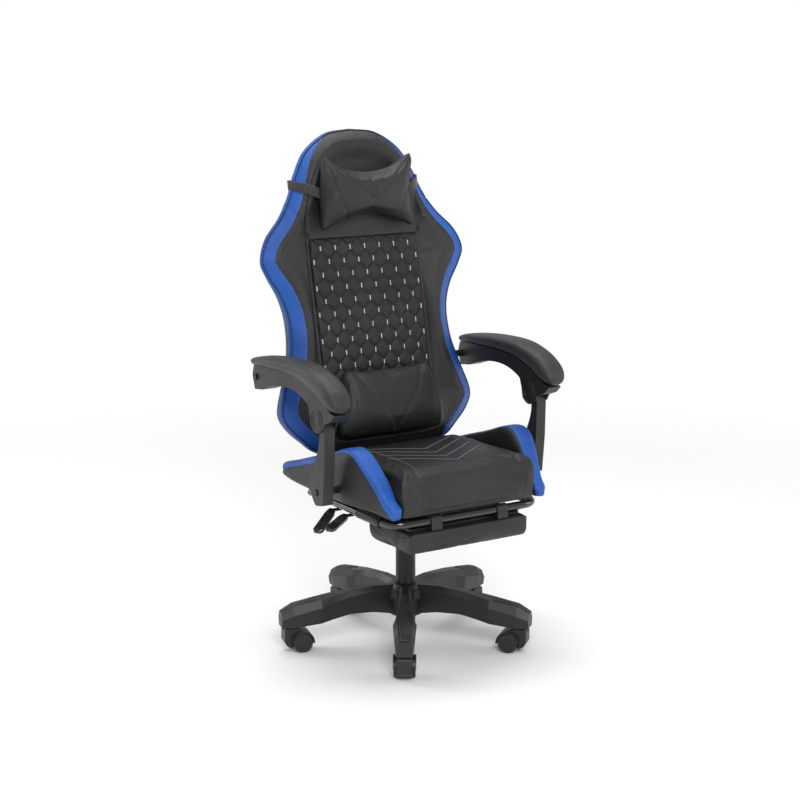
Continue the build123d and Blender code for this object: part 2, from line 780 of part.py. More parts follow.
def armrest_frame(name, sign):
    """Arched frame under the pad: two cheeks at the pivot, one web behind, and the moulded pin."""
    y, z = ARM_PIVOT
    with BuildPart() as frame:
        with BuildSketch(across(ARM_INNER, ARM_OUTER, sign)):
            with BuildLine():
                Polyline(*ARM_UNDER)
                Polyline((-206, 656), (-190, 640), (-160, 628), (-150, 612))
                Polyline((-150, 612), (-98, 612), (-92, 640), (-84, 662))
                Spline((-84, 662), (-40, 680), (30, 686), (90, 676), (140, 660))
                Polyline((140, 660), (180, 655), (192, 690), (184, 716))
            make_face()
            with Locations(ARM_PIVOT):
                Circle(30)
            with Locations(REAR_BOLT):
                Circle(4.5, mode=Mode.SUBTRACT)
        extrude(amount=ARM_OUTER - ARM_INNER)
        with BuildSketch(across(UPRIGHT_INNER - 0.4, UPRIGHT_OUTER + 0.4, sign)):
            with Locations(ARM_PIVOT):
                Circle(27)
            outline([
                (y - 20, z + 21), (y - 36.5, z + 8), (y - 106.5, z - 65), (y + 60, z - 80), (y + 27, z),
            ])
        extrude(amount=UPRIGHT_OUTER - UPRIGHT_INNER + 0.8, mode=Mode.SUBTRACT)
        with BuildSketch(across(ARM_INNER, ARM_OUTER, sign)):
            with Locations(ARM_PIVOT):
                Circle(BOLT_R)
        extrude(amount=ARM_OUTER - ARM_INNER)
    save(frame, f"armrest_{name}_frame")


def armrest_pad(name, sign):
    with BuildPart() as pad:
        with BuildSketch(across(ARM_PAD_INNER, ARM_PAD_OUTER, sign)):
            with BuildLine():
                Polyline(*[(y, z + 0.3) for y, z in ARM_UNDER])
                Spline(
                    (-206, 656.3), (-226, 672), (-205, 704), (-150, 737), (-70, 754), (40, 753),
                    (130, 744), (180, 736),
                )
                Line((180, 736), (184, 716.3))
            make_face()
        extrude(amount=ARM_PAD_OUTER - ARM_PAD_INNER)
        chamfer(pad.faces().sort_by(Axis.X)[0].edges() + pad.faces().sort_by(Axis.X)[-1].edges(), length=4)
    save(pad, f"armrest_{name}_pad")


# ======== build everything
star_base()
for leg in range(LEG_COUNT):
    caster_hood(leg)
    caster_pins(leg)
    for name, sign in SIDES.items():
        caster_wheel(leg, name, sign)
gas_lift_tube()
ring("gas_lift_bush", TUBE_TOP - 45, TUBE_TOP, TUBE_R - TUBE_WALL, CYLINDER_R + RUNNING)
gas_lift_rod()
ring("thrust_bearing", TUBE_BOTTOM + 3.1, 54, 14, ROD_R)
gas_lift_cylinder()
release_button()
seat_mechanism()
mechanism_bolts()
seat_board()
seat_cushion()
recline_hinge_arms()
recline_hinge_pins()
footrest_guides()
armrest_lower_bolts()
for name, (rod_y, tip_y, tip_z) in LEVERS.items():
    lever_rod(name, rod_y)
    lever_paddle(name, rod_y, tip_y, tip_z)
footrest_tube()
footrest_board()
footrest_pad()
back_shell()
back_frame()
back_pad()
back_hinge_plates()
head_pillow()
head_strap()
lumbar_pillow()
armrest_rear_bolts()
for name, sign in SIDES.items():
    seat_bolster(name, sign)
    back_bolster(name, sign)
    armrest_upright(name, sign)
    armrest_frame(name, sign)
    armrest_pad(name, sign)
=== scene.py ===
import bpy
import bmesh
import numpy as np
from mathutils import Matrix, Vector


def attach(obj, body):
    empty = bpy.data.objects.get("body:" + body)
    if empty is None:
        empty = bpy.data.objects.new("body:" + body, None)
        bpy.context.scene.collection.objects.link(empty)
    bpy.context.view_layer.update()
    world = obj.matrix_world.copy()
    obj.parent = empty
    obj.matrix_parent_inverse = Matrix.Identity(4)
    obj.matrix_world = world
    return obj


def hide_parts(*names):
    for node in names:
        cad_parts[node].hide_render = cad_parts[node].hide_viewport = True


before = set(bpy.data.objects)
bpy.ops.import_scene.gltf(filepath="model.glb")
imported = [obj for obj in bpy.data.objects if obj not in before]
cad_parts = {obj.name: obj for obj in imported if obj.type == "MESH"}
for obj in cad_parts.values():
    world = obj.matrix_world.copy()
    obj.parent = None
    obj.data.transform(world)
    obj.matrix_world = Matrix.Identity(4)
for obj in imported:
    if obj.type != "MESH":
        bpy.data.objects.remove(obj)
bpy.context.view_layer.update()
print("frame loaded:", len(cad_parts), "CAD nodes")

# Distances in the dictionaries are millimetres; meshes are made in metres.
mm = 0.001
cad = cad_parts

# ---- camera and lights
shot = {"target": (0, 0, 0.617), "azimuth": -32.612, "elevation": 11.85, "distance": 4.4318,
        "lens": 80.27, "shiftX": -0.00695, "shiftY": 0.00246}
softboxes = {
    "keyLight": {"place": (-1.6, -3.4, 2.9), "size": 1.7, "watts": 92},
    "fillLight": {"place": (3.4, -2.2, 1.6), "size": 2.6, "watts": 38},
    "topLight": {"place": (0.2, 0.6, 3.6), "size": 2.4, "watts": 60},
    "rearLight": {"place": (-2.4, 2.8, 2.0), "size": 2.0, "watts": 40},
}


def aim(obj, place, target):
    obj.location = place
    obj.rotation_euler = (Vector(target) - Vector(place)).to_track_quat("-Z", "Y").to_euler()
    bpy.context.scene.collection.objects.link(obj)


def placeCamera(v):
    a, e = np.radians([v["azimuth"], v["elevation"]])
    back = Vector((np.sin(a) * np.cos(e), -np.cos(a) * np.cos(e), np.sin(e)))
    data = bpy.data.cameras.new("viewpoint")
    data.lens, data.sensor_width = v["lens"], 36
    data.shift_x, data.shift_y = v["shiftX"], v["shiftY"]
    data.clip_end = 60
    camera = bpy.data.objects.new("viewpoint", data)
    aim(camera, Vector(v["target"]) + back * v["distance"], v["target"])
    bpy.context.scene.camera = camera


def placeLights(boxes):
    for name, v in boxes.items():
        lamp = bpy.data.lights.new(name, "AREA")
        lamp.shape, lamp.size, lamp.energy = "DISK", v["size"], v["watts"]
        aim(bpy.data.objects.new(name, lamp), v["place"], (0, 0, 0.6))


placeCamera(shot)
placeLights(softboxes)
bpy.context.scene.view_settings.view_transform = "Standard"


# ---- shader helpers
def addNode(tree, kind, **settings):
    node = tree.nodes.new(kind)
    for key, value in settings.items():
        setattr(node, key, value)
    return node


def setInputs(node, **values):
    for key, value in values.items():
        node.inputs[key.replace("_", " ")].default_value = value
    return node


def newGroup(name, inputs, outputs):
    group = bpy.data.node_groups.new(name, "ShaderNodeTree")
    for label, kind, value in inputs:
        group.interface.new_socket(name=label, in_out="INPUT", socket_type=kind).default_value = value
    for label, kind in outputs:
        group.interface.new_socket(name=label, in_out="OUTPUT", socket_type=kind)
    return group, addNode(group, "NodeGroupInput"), addNode(group, "NodeGroupOutput")


def mathNode(tree, operation, a, b=None, clamp=False):
    node = addNode(tree, "ShaderNodeMath", operation=operation, use_clamp=clamp)
    for socket, value in zip(node.inputs, (a, b)):
        if isinstance(value, (int, float)):
            socket.default_value = value
        elif value is not None:
            tree.links.new(value, socket)
    return node.outputs[0]


def ramp(tree, value, low, high, toLow=0.0, toHigh=1.0):
    node = addNode(tree, "ShaderNodeMapRange", interpolation_type="SMOOTHSTEP")
    for key, number in (("From Min", low), ("From Max", high), ("To Min", toLow), ("To Max", toHigh)):
        node.inputs[key].default_value = number
    tree.links.new(value, node.inputs["Value"])
    return node.outputs["Result"]


def noise(tree, vector, scale, detail=3.0):
    node = addNode(tree, "ShaderNodeTexNoise")
    tree.links.new(vector, node.inputs["Vector"])
    if isinstance(scale, (int, float)):
        node.inputs["Scale"].default_value = scale
    else:
        tree.links.new(scale, node.inputs["Scale"])
    node.inputs["Detail"].default_value = detail
    return node.outputs["Fac"]


def mixColours(tree, mask, a, b):
    node = addNode(tree, "ShaderNodeMix", data_type="RGBA")
    tree.links.new(mask, node.inputs[0])
    for socket, value in ((node.inputs[6], a), (node.inputs[7], b)):
        if isinstance(value, tuple):
            socket.default_value = (*value, 1)
        else:
            tree.links.new(value, socket)
    return node.outputs[2]


# Leather grain: pebbles from the distance to Voronoi edges, with fine pores, and a slow change of tone.
def makeLeatherGrain():
    group, given, out = newGroup("leatherGrain", [("Scale", "NodeSocketFloat", 620.0)],
                                 [("Height", "NodeSocketFloat"), ("Tone", "NodeSocketFloat")])
    place = addNode(group, "ShaderNodeTexCoord").outputs["Object"]
    cells = addNode(group, "ShaderNodeTexVoronoi", feature="DISTANCE_TO_EDGE")
    group.links.new(place, cells.inputs["Vector"])
    group.links.new(given.outputs["Scale"], cells.inputs["Scale"])
    pebbles = ramp(group, cells.outputs["Distance"], 0.0, 0.32)
    pores = noise(group, place, 2400, 2)
    group.links.new(mathNode(group, "ADD", pebbles, mathNode(group, "MULTIPLY", pores, 0.35)),
                    out.inputs["Height"])
    slow = mathNode(group, "ADD", noise(group, place, 7, 4),
                    mathNode(group, "MULTIPLY", noise(group, place, 60, 2), 0.25))
    group.links.new(ramp(group, slow, 0.42, 0.82), out.inputs["Tone"])
    return group


# Edge wear: where a rounded normal leaves the flat one, broken up by noise. Also gives the rounded normal.
def makeEdgeWear():
    group, given, out = newGroup("edgeWear", [("Breakup", "NodeSocketFloat", 160.0)],
                                 [("Mask", "NodeSocketFloat"), ("Normal", "NodeSocketVector")])
    soft = addNode(group, "ShaderNodeBevel", samples=4)
    soft.inputs["Radius"].default_value = 0.0014
    flat = addNode(group, "ShaderNodeNewGeometry").outputs["Normal"]
    place = addNode(group, "ShaderNodeTexCoord").outputs["Object"]
    facing = addNode(group, "ShaderNodeVectorMath", operation="DOT_PRODUCT")
    group.links.new(soft.outputs[0], facing.inputs[0])
    group.links.new(flat, facing.inputs[1])
    turn = mathNode(group, "SUBTRACT", 1.0, facing.outputs["Value"])
    broken = mathNode(group, "MULTIPLY", ramp(group, turn, 0.03, 0.3),
                      ramp(group, noise(group, place, given.outputs["Breakup"]), 0.35, 0.7))
    group.links.new(broken, out.inputs["Mask"])
    group.links.new(soft.outputs[0], out.inputs["Normal"])
    return group


# Moulded texture: spark-eroded speckle in two sizes, with slow blotches of sheen.
def makeMouldedGrain():
    group, given, out = newGroup("mouldedGrain", [("Scale", "NodeSocketFloat", 900.0)],
                                 [("Height", "NodeSocketFloat"), ("Tone", "NodeSocketFloat")])
    place = addNode(group, "ShaderNodeTexCoord").outputs["Object"]
    fine = noise(group, place, given.outputs["Scale"], 3)
    coarse = noise(group, place, 240, 2)
    group.links.new(mathNode(group, "ADD", fine, mathNode(group, "MULTIPLY", coarse, 0.5)),
                    out.inputs["Height"])
    group.links.new(ramp(group, noise(group, place, 14, 4), 0.35, 0.7), out.inputs["Tone"])
    return group


# Dust: settles on what faces up, in soft patches.
def makeDust():
    group, given, out = newGroup("dustFilm", [("Amount", "NodeSocketFloat", 0.3)],
                                 [("Mask", "NodeSocketFloat")])
    split = addNode(group, "ShaderNodeSeparateXYZ")
    group.links.new(addNode(group, "ShaderNodeNewGeometry").outputs["Normal"], split.inputs[0])
    place = addNode(group, "ShaderNodeTexCoord").outputs["Object"]
    patches = ramp(group, noise(group, place, 22, 5), 0.42, 0.75)
    up = ramp(group, split.outputs["Z"], 0.3, 1.0)
    group.links.new(mathNode(group, "MULTIPLY", mathNode(group, "MULTIPLY", up, patches),
                             given.outputs["Amount"]), out.inputs["Mask"])
    return group


# Weave: ribs across and yarns along, read from the piece's own UV map in ribs.
def makeWeave():
    group, given, out = newGroup("elasticWeave", [("Ribs", "NodeSocketFloat", 1.0)],
                                 [("Height", "NodeSocketFloat"), ("Tone", "NodeSocketFloat")])
    place = addNode(group, "ShaderNodeUVMap", uv_map="weave").outputs["UV"]
    split = addNode(group, "ShaderNodeSeparateXYZ")
    group.links.new(place, split.inputs[0])
    along = mathNode(group, "MULTIPLY", split.outputs["X"], given.outputs["Ribs"])
    ribs = mathNode(group, "ABSOLUTE", mathNode(group, "SINE", mathNode(group, "MULTIPLY", along, 3.1416)))
    wave = mathNode(group, "SINE", mathNode(group, "MULTIPLY", split.outputs["Y"], 40.0))
    yarns = mathNode(group, "ABSOLUTE", wave)
    height = mathNode(group, "ADD", ribs, mathNode(group, "MULTIPLY", yarns, 0.6))
    group.links.new(height, out.inputs["Height"])
    # The colour follows this height: the grooves between ribs and yarns come out darker, painted shade in the
    # weave's recesses.
    group.links.new(ramp(group, height, 0.2, 1.4), out.inputs["Tone"])
    return group


leatherGrain, edgeWear, mouldedGrain, dustFilm, elasticWeave = (
    makeLeatherGrain(), makeEdgeWear(), makeMouldedGrain(), makeDust(), makeWeave())


def useGroup(tree, group, **values):
    node = addNode(tree, "ShaderNodeGroup", node_tree=group)
    return setInputs(node, **values)


def startMaterial(name, **values):
    material = bpy.data.materials.new(name)
    material.use_nodes = True
    tree = material.node_tree
    skin = tree.nodes["Principled BSDF"]
    return material, tree, setInputs(skin, **values)


def bumpInto(tree, skin, height, depth, strength=1.0, normal=None):
    bump = addNode(tree, "ShaderNodeBump")
    setInputs(bump, Strength=strength, Distance=depth)
    tree.links.new(height, bump.inputs["Height"])
    if normal is not None:
        tree.links.new(normal, bump.inputs["Normal"])
    tree.links.new(bump.outputs["Normal"], skin.inputs["Normal"])


# Coated leather: two tones, grain in the bump, the sheen broken up. The band colour shows where
# bandSide is above 0.
def leather(name, dark, light, rough, scale=620.0, depth=0.00018, band=None, dust=0.0):
    material, tree, skin = startMaterial(name, Specular_IOR_Level=0.42)
    grain = useGroup(tree, leatherGrain, Scale=scale)
    colour = mixColours(tree, grain.outputs["Tone"], dark, light)
    if band:
        side = addNode(tree, "ShaderNodeAttribute", attribute_name="bandSide").outputs["Fac"]
        edge = ramp(tree, side, -0.25, 0.25)
        colour = mixColours(tree, edge, colour, mixColours(tree, grain.outputs["Tone"], *band))
    if dust:
        film = useGroup(tree, dustFilm, Amount=dust)
        colour = mixColours(tree, film.outputs["Mask"], colour, (0.22, 0.21, 0.2))
    tree.links.new(colour, skin.inputs["Base Color"])
    tree.links.new(ramp(tree, grain.outputs["Tone"], 0.0, 1.0, rough + 0.05, rough - 0.05),
                   skin.inputs["Roughness"])
    bumpInto(tree, skin, grain.outputs["Height"], depth)
    return material


# Moulded plastic or painted metal: speckle, rounded worn edges a little lighter, and a film of dust
# on top faces.
def moulded(name, colour, worn, rough, metal=0.0, scale=900.0, depth=0.00006, dust=0.15, coat=0.0):
    material, tree, skin = startMaterial(name, Metallic=metal, Coat_Weight=coat, Coat_Roughness=0.06)
    grain = useGroup(tree, mouldedGrain, Scale=scale)
    rub = useGroup(tree, edgeWear)
    film = useGroup(tree, dustFilm, Amount=dust)
    shade = mixColours(tree, grain.outputs["Tone"], colour, tuple(c * 1.25 for c in colour))
    shade = mixColours(tree, rub.outputs["Mask"], shade, worn)
    shade = mixColours(tree, film.outputs["Mask"], shade, (0.2, 0.2, 0.19))
    tree.links.new(shade, skin.inputs["Base Color"])
    tree.links.new(ramp(tree, grain.outputs["Tone"], 0.0, 1.0, rough + 0.04, rough - 0.04),
                   skin.inputs["Roughness"])
    bumpInto(tree, skin, grain.outputs["Height"], depth, normal=rub.outputs["Normal"])
    return material


# Bare steel: turned, so its noise is drawn out round and along the axis.
def brushed(name, colour, rough):
    material, tree, skin = startMaterial(name, Metallic=1.0)
    stretch = addNode(tree, "ShaderNodeMapping")
    stretch.inputs["Scale"].default_value = (40, 40, 1600)
    tree.links.new(addNode(tree, "ShaderNodeTexCoord").outputs["Object"], stretch.inputs["Vector"])
    lines = noise(tree, stretch.outputs["Vector"], 1.0, 4)
    tree.links.new(mixColours(tree, lines, colour, tuple(c * 0.72 for c in colour)),
                   skin.inputs["Base Color"])
    tree.links.new(ramp(tree, lines, 0.3, 0.7, rough - 0.08, rough + 0.1), skin.inputs["Roughness"])
    bumpInto(tree, skin, lines, 0.00003)
    return material


# Plywood: growth rings from a stretched wave, with pores.
def plywood(name, dark, light):
    material, tree, skin = startMaterial(name, Roughness=0.7)
    stretch = addNode(tree, "ShaderNodeMapping")
    stretch.inputs["Scale"].default_value = (9, 1.6, 60)
    tree.links.new(addNode(tree, "ShaderNodeTexCoord").outputs["Object"], stretch.inputs["Vector"])
    rings = addNode(tree, "ShaderNodeTexWave")
    setInputs(rings, Scale=3.0, Distortion=7.0, Detail=3.0)
    tree.links.new(stretch.outputs["Vector"], rings.inputs["Vector"])
    tree.links.new(mixColours(tree, rings.outputs["Fac"], dark, light), skin.inputs["Base Color"])
    bumpInto(tree, skin, rings.outputs["Fac"], 0.0002)
    return material


# Thread and woven elastic.
def woven(name, dark, light, rough, ribs=1.0):
    material, tree, skin = startMaterial(name, Roughness=rough, Sheen_Weight=0.25)
    cloth = useGroup(tree, elasticWeave, Ribs=ribs)
    # The colour is darker where the weave is low: painted shade.
    tree.links.new(mixColours(tree, cloth.outputs["Tone"], dark, light), skin.inputs["Base Color"])
    bumpInto(tree, skin, cloth.outputs["Height"], 0.0004)
    return material


def thread(name, dark, light):
    material, tree, skin = startMaterial(name, Roughness=0.6, Sheen_Weight=0.3)
    place = addNode(tree, "ShaderNodeTexCoord").outputs["Object"]
    fuzz = noise(tree, place, 1500, 3)
    tree.links.new(mixColours(tree, fuzz, dark, light), skin.inputs["Base Color"])
    bumpInto(tree, skin, fuzz, 0.0002)
    return material


blueDark, blueLight = (0.003, 0.06, 0.30), (0.007, 0.088, 0.40)
blackLeather = leather("blackLeather", (0.010, 0.010, 0.0105), (0.017, 0.017, 0.0175), 0.4)
backLeather = leather("backLeather", (0.010, 0.010, 0.0105), (0.016, 0.016, 0.0165), 0.4,
                      band=(blueDark, blueLight))
bolsterLeather = leather("bolsterLeather", (0.010, 0.010, 0.0105), (0.016, 0.016, 0.0165), 0.42,
                         band=(blueDark, blueLight))
quiltLeather = leather("quiltLeather", (0.008, 0.008, 0.0085), (0.013, 0.013, 0.0135), 0.5, scale=900.0)
# This dark blue colours the real piping, and also the cords in the seat wings' band seams, where it is
# painted shade.
pipingAndSeamShadeLeather = leather("pipingAndSeamShadeLeather", (0.004, 0.012, 0.055), (0.006, 0.02, 0.08), 0.4, depth=0.0001)
armPadSkin = leather("armPadSkin", (0.022, 0.022, 0.0225), (0.03, 0.03, 0.0305), 0.46, scale=1100.0,
                     depth=0.0001, dust=0.1)
blackNylon = moulded("blackNylon", (0.010, 0.010, 0.0105), (0.035, 0.035, 0.036), 0.42, depth=0.00008)
armNylon = moulded("armNylon", (0.013, 0.013, 0.0135), (0.04, 0.04, 0.041), 0.45, depth=0.00007)
leverPlastic = moulded("leverPlastic", (0.012, 0.012, 0.014), (0.03, 0.03, 0.032), 0.28, coat=0.3)
wheelNylon = moulded("wheelNylon", (0.014, 0.014, 0.015), (0.05, 0.05, 0.05), 0.5, dust=0.3)
satinSteel = moulded("satinSteel", (0.008, 0.008, 0.0085), (0.05, 0.05, 0.05), 0.4, metal=0.3, scale=500.0)
glossSteel = moulded("glossSteel", (0.008, 0.008, 0.009), (0.05, 0.05, 0.05), 0.2, metal=0.2, scale=300.0,
                     depth=0.00003, coat=0.8, dust=0.03)
bareSteel = brushed("bareSteel", (0.55, 0.55, 0.56), 0.3)
seatPly = plywood("seatPly", (0.008, 0.0075, 0.007), (0.018, 0.017, 0.016))
blackElastic = woven("blackElastic", (0.012, 0.012, 0.013), (0.03, 0.03, 0.032), 0.75)
# This black colours the real stitches, and also the dark cords in the seam grooves, where it is painted
# shade.
blackThreadAndSeamShade = thread("blackThreadAndSeamShade", (0.008, 0.008, 0.009), (0.03, 0.03, 0.03))
greyThread = thread("greyThread", (0.16, 0.16, 0.16), (0.3, 0.3, 0.3))
whiteThread = thread("whiteThread", (0.5, 0.5, 0.48), (0.75, 0.75, 0.73))
blueThread = thread("blueThread", (0.03, 0.1, 0.3), (0.1, 0.22, 0.5))
print("materials made:", len(bpy.data.materials))


# ---- numpy helpers
def smooth(value, low, high):
    t = np.clip((value - low) / (high - low), 0, 1)
    return t * t * (3 - 2 * t)


# Catmull-Rom curve through the points, then spaced evenly along its length.
def curveThrough(points, count, closed=False):
    p = np.asarray(points, float)
    p = np.vstack([p[-1:], p, p[:2]]) if closed else np.vstack([2 * p[0] - p[1], p, 2 * p[-1] - p[-2]])
    a, b, c, d = p[:-3, None], p[1:-2, None], p[2:-1, None], p[3:, None]
    t = np.linspace(0, 1, 24, endpoint=False)[None, :, None]
    line = 0.5 * (2 * b + (c - a) * t + (2 * a - 5 * b + 4 * c - d) * t ** 2
                  + (3 * b - a - 3 * c + d) * t ** 3)
    line = np.vstack([line.reshape(-1, p.shape[1]), p[-2:-1]])
    run = np.concatenate([[0], np.cumsum(np.linalg.norm(np.diff(line, axis=0), axis=1))])
    stops = np.linspace(0, run[-1], count + 1)[:-1] if closed else np.linspace(0, run[-1], count)
    return np.stack([np.interp(stops, run, line[:, k]) for k in range(line.shape[1])], 1)


def runLength(line):
    return np.concatenate([[0], np.cumsum(np.linalg.norm(np.diff(line, axis=0), axis=1))])


# Shortest distance from each point to a chain of straight pieces, and how far along the chain it falls.
def distanceTo(points, line):
    a, step = line[:-1], np.diff(line, axis=0)
    size = np.maximum((step ** 2).sum(1), 1e-12)
    best, along = [], []
    run = runLength(line)
    for part in np.array_split(points, max(1, len(points) * len(a) // 2000000)):
        t = np.clip(((part[:, None] - a) * step).sum(2) / size, 0, 1)
        gap = np.linalg.norm(part[:, None] - a - t[..., None] * step, axis=2)
        k = gap.argmin(1)
        rows = np.arange(len(part))
        best.append(gap[rows, k])
        along.append(run[k] + t[rows, k] * np.sqrt(size[k]))
    return np.concatenate(best), np.concatenate(along)


# The back leans by a small angle about a foot on the seat's rear: its own up and front directions.
backFoot = np.array([0, 99.6, 475])
backUp = np.array([0, 0.1961, 0.9806])
backFront = np.array([0, -0.9806, 0.1961])


# Place on the leaning back: across it, up it, and out of its front.
def onBack(across, up, out):
    up, out = np.asarray(up, float), np.asarray(out, float)
    y, z = (backFoot[k] + backUp[k] * up + backFront[k] * out for k in (1, 2))
    return np.stack(np.broadcast_arrays(np.asarray(across, float), y, z), -1)


# Quads joining each point of a grid to its next neighbours.
def gridFaces(rows, columns, wrap=False, start=0):
    i = np.arange(rows - 1)[:, None]
    j = np.arange(columns if wrap else columns - 1)[None, :]
    k = (j + 1) % columns
    quads = np.stack(np.broadcast_arrays(i * columns + j, i * columns + k, (i + 1) * columns + k,
                                         (i + 1) * columns + j), -1)
    return quads.reshape(-1, 4) + start


def newPiece(name, points, faces, material, body, closed=True, attributes=None, soften=0):
    mesh = bpy.data.meshes.new(name)
    mesh.from_pydata((np.asarray(points).reshape(-1, 3) * mm).tolist(), [],
                     [list(map(int, f)) for f in faces])
    for key, values in (attributes or {}).items():
        layer = mesh.attributes.new(key, "FLOAT", "POINT")
        layer.data.foreach_set("value", np.asarray(values, np.float32).ravel())
    if closed:
        shape = bmesh.new()
        shape.from_mesh(mesh)
        bmesh.ops.remove_doubles(shape, verts=shape.verts, dist=2e-5)
        bmesh.ops.dissolve_degenerate(shape, dist=1e-6, edges=shape.edges)
        bmesh.ops.recalc_face_normals(shape, faces=shape.faces)
        shape.to_mesh(mesh)
        shape.free()
    mesh.polygons.foreach_set("use_smooth", [True] * len(mesh.polygons))
    mesh.materials.append(material)
    obj = bpy.data.objects.new(name, mesh)
    bpy.context.scene.collection.objects.link(obj)
    if soften:
        finer = obj.modifiers.new("finer", "SUBSURF")
        finer.levels = finer.render_levels = soften
    if body:
        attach(obj, body)
    return obj


# Surface normals of a grid of points, from its row and column directions.
def gridNormals(grid, wrap=False):
    across = np.roll(grid, -1, 1) - np.roll(grid, 1, 1) if wrap else np.gradient(grid, axis=1)
    normal = np.cross(across, np.gradient(grid, axis=0))
    return normal / np.maximum(np.linalg.norm(normal, axis=2, keepdims=True), 1e-9)


# Tangent, side and outward direction at each point of a path that lies on a surface.
def pathFrames(path, out):
    ahead = np.gradient(path, axis=0)
    ahead /= np.maximum(np.linalg.norm(ahead, axis=1, keepdims=True), 1e-9)
    side = np.cross(ahead, out)
    side /= np.maximum(np.linalg.norm(side, axis=1, keepdims=True), 1e-9)
    return ahead, side, np.cross(side, ahead)


# A round cord carried along a path: a circle in the side and outward directions at each point.
def cordMesh(path, out, radius, sides=8, loop=False):
    _, side, up = pathFrames(path, out)
    if loop:
        path, side, up = (np.vstack([p, p[:1]]) for p in (path, side, up))
    turn = np.linspace(0, 2 * np.pi, sides, endpoint=False)[None, :, None]
    ring = path[:, None] + radius * (np.cos(turn) * side[:, None] + np.sin(turn) * up[:, None])
    faces = gridFaces(len(path), sides, True).tolist()
    if not loop:
        last = sides * (len(path) - 1)
        faces += [list(range(sides)), list(range(last, last + sides))]
    return ring.reshape(-1, 3), faces


# Stitches: one short capsule copied to even stops along a path, lying on the surface.
def stitchMesh(path, out, pitch, length, radius):
    run = runLength(path)
    stops = np.arange(pitch / 2, run[-1], pitch)
    at = np.stack([np.interp(stops, run, path[:, k]) for k in range(3)], 1)
    ahead, side, up = pathFrames(path, out)
    ahead, side, up = (np.stack([np.interp(stops, run, v[:, k]) for k in range(3)], 1)
                       for v in (ahead, side, up))
    u = np.array([-1, -0.86, -0.4, 0.4, 0.86, 1]) * length / 2
    r = np.array([0.05, 0.7, 1, 1, 0.7, 0.05]) * radius
    turn = np.linspace(0, 2 * np.pi, 6, endpoint=False)
    lift = radius * 0.8 - (u / length * 2) ** 2 * radius * 0.9
    one = np.stack(np.broadcast_arrays(u[:, None], r[:, None] * np.cos(turn),
                                       r[:, None] * np.sin(turn) + lift[:, None]), -1).reshape(-1, 3)
    axes = np.stack([ahead, side, up], 1)
    points = at[:, None] + np.einsum("pk,skc->spc", one, axes)
    faces = gridFaces(6, 6, True)
    faces = (faces[None] + (np.arange(len(stops)) * 36)[:, None, None]).reshape(-1, 4)
    return points.reshape(-1, 3), faces.tolist()


def joinMeshes(parts):
    points, faces, count = [], [], 0
    for p, f in parts:
        points.append(p)
        faces += [[k + count for k in face] for face in f]
        count += len(p)
    return np.vstack(points), faces


# A grid of points sampled between its rows and columns.
def sampleGrid(grid, rows, columns):
    r, c = np.clip(rows, 0, grid.shape[0] - 1.001), np.clip(columns, 0, grid.shape[1] - 1.001)
    i, j = r.astype(int), c.astype(int)
    a, b = (r - i)[:, None], (c - j)[:, None]
    return (grid[i, j] * (1 - a) * (1 - b) + grid[i + 1, j] * a * (1 - b) + grid[i, j + 1] * (1 - a) * b
            + grid[i + 1, j + 1] * a * b)


# Cloth swollen by pressure with no weight; its held points stay, and no point goes further than the cap.
def inflate(obj, held, v):
    count = len(obj.data.vertices)
    before = np.zeros(count * 3, np.float32)
    obj.data.vertices.foreach_get("co", before)
    before = before.reshape(-1, 3)
    group = obj.vertex_groups.new(name="held")
    for weight in (1.0, 0.5):
        chosen = np.nonzero(held >= weight)[0] if weight == 1.0 else np.nonzero((held >= 0.5) & (held < 1))[0]
        group.add(chosen.tolist(), weight, "REPLACE")
    swell = obj.modifiers.new("stuffing", "CLOTH")
    cloth = swell.settings
    cloth.quality, cloth.mass = 6, 0.25
    cloth.use_pressure, cloth.uniform_pressure_force = True, v["pressure"]
    cloth.tension_stiffness = cloth.compression_stiffness = v.get("stiffness", 12)
    cloth.bending_stiffness = v.get("bend", 0.4)
    cloth.shrink_min = v.get("shrink", 0.0)
    cloth.vertex_group_mass = "held"
    cloth.effector_weights.gravity = 0
    swell.collision_settings.use_collision = False
    scene = bpy.context.scene
    for step in range(1, 21):
        scene.frame_set(step)
    soft = obj.evaluated_get(bpy.context.evaluated_depsgraph_get())
    after = np.zeros(count * 3, np.float32)
    soft.data.vertices.foreach_get("co", after)
    scene.frame_set(1)
    obj.modifiers.remove(swell)
    obj.vertex_groups.remove(group)
    move = after.reshape(-1, 3) - before
    far = np.linalg.norm(move, axis=1, keepdims=True)
    cap = v["cap"] * mm
    after = before + move * np.minimum(1, cap / np.maximum(far, 1e-9))
    obj.data.vertices.foreach_set("co", after.astype(np.float32).ravel())
    obj.data.update()
    print("  stuffed", obj.name, "mean move", round(float(far.mean() / mm), 1), "mm, most",
          round(float(far.max() / mm), 1))


def readPoints(obj):
    points = np.zeros(len(obj.data.vertices) * 3, np.float32)
    obj.data.vertices.foreach_get("co", points)
    return points.reshape(-1, 3).astype(float) / mm


def writePoints(obj, points):
    obj.data.vertices.foreach_set("co", (points * mm).astype(np.float32).ravel())
    obj.data.update()


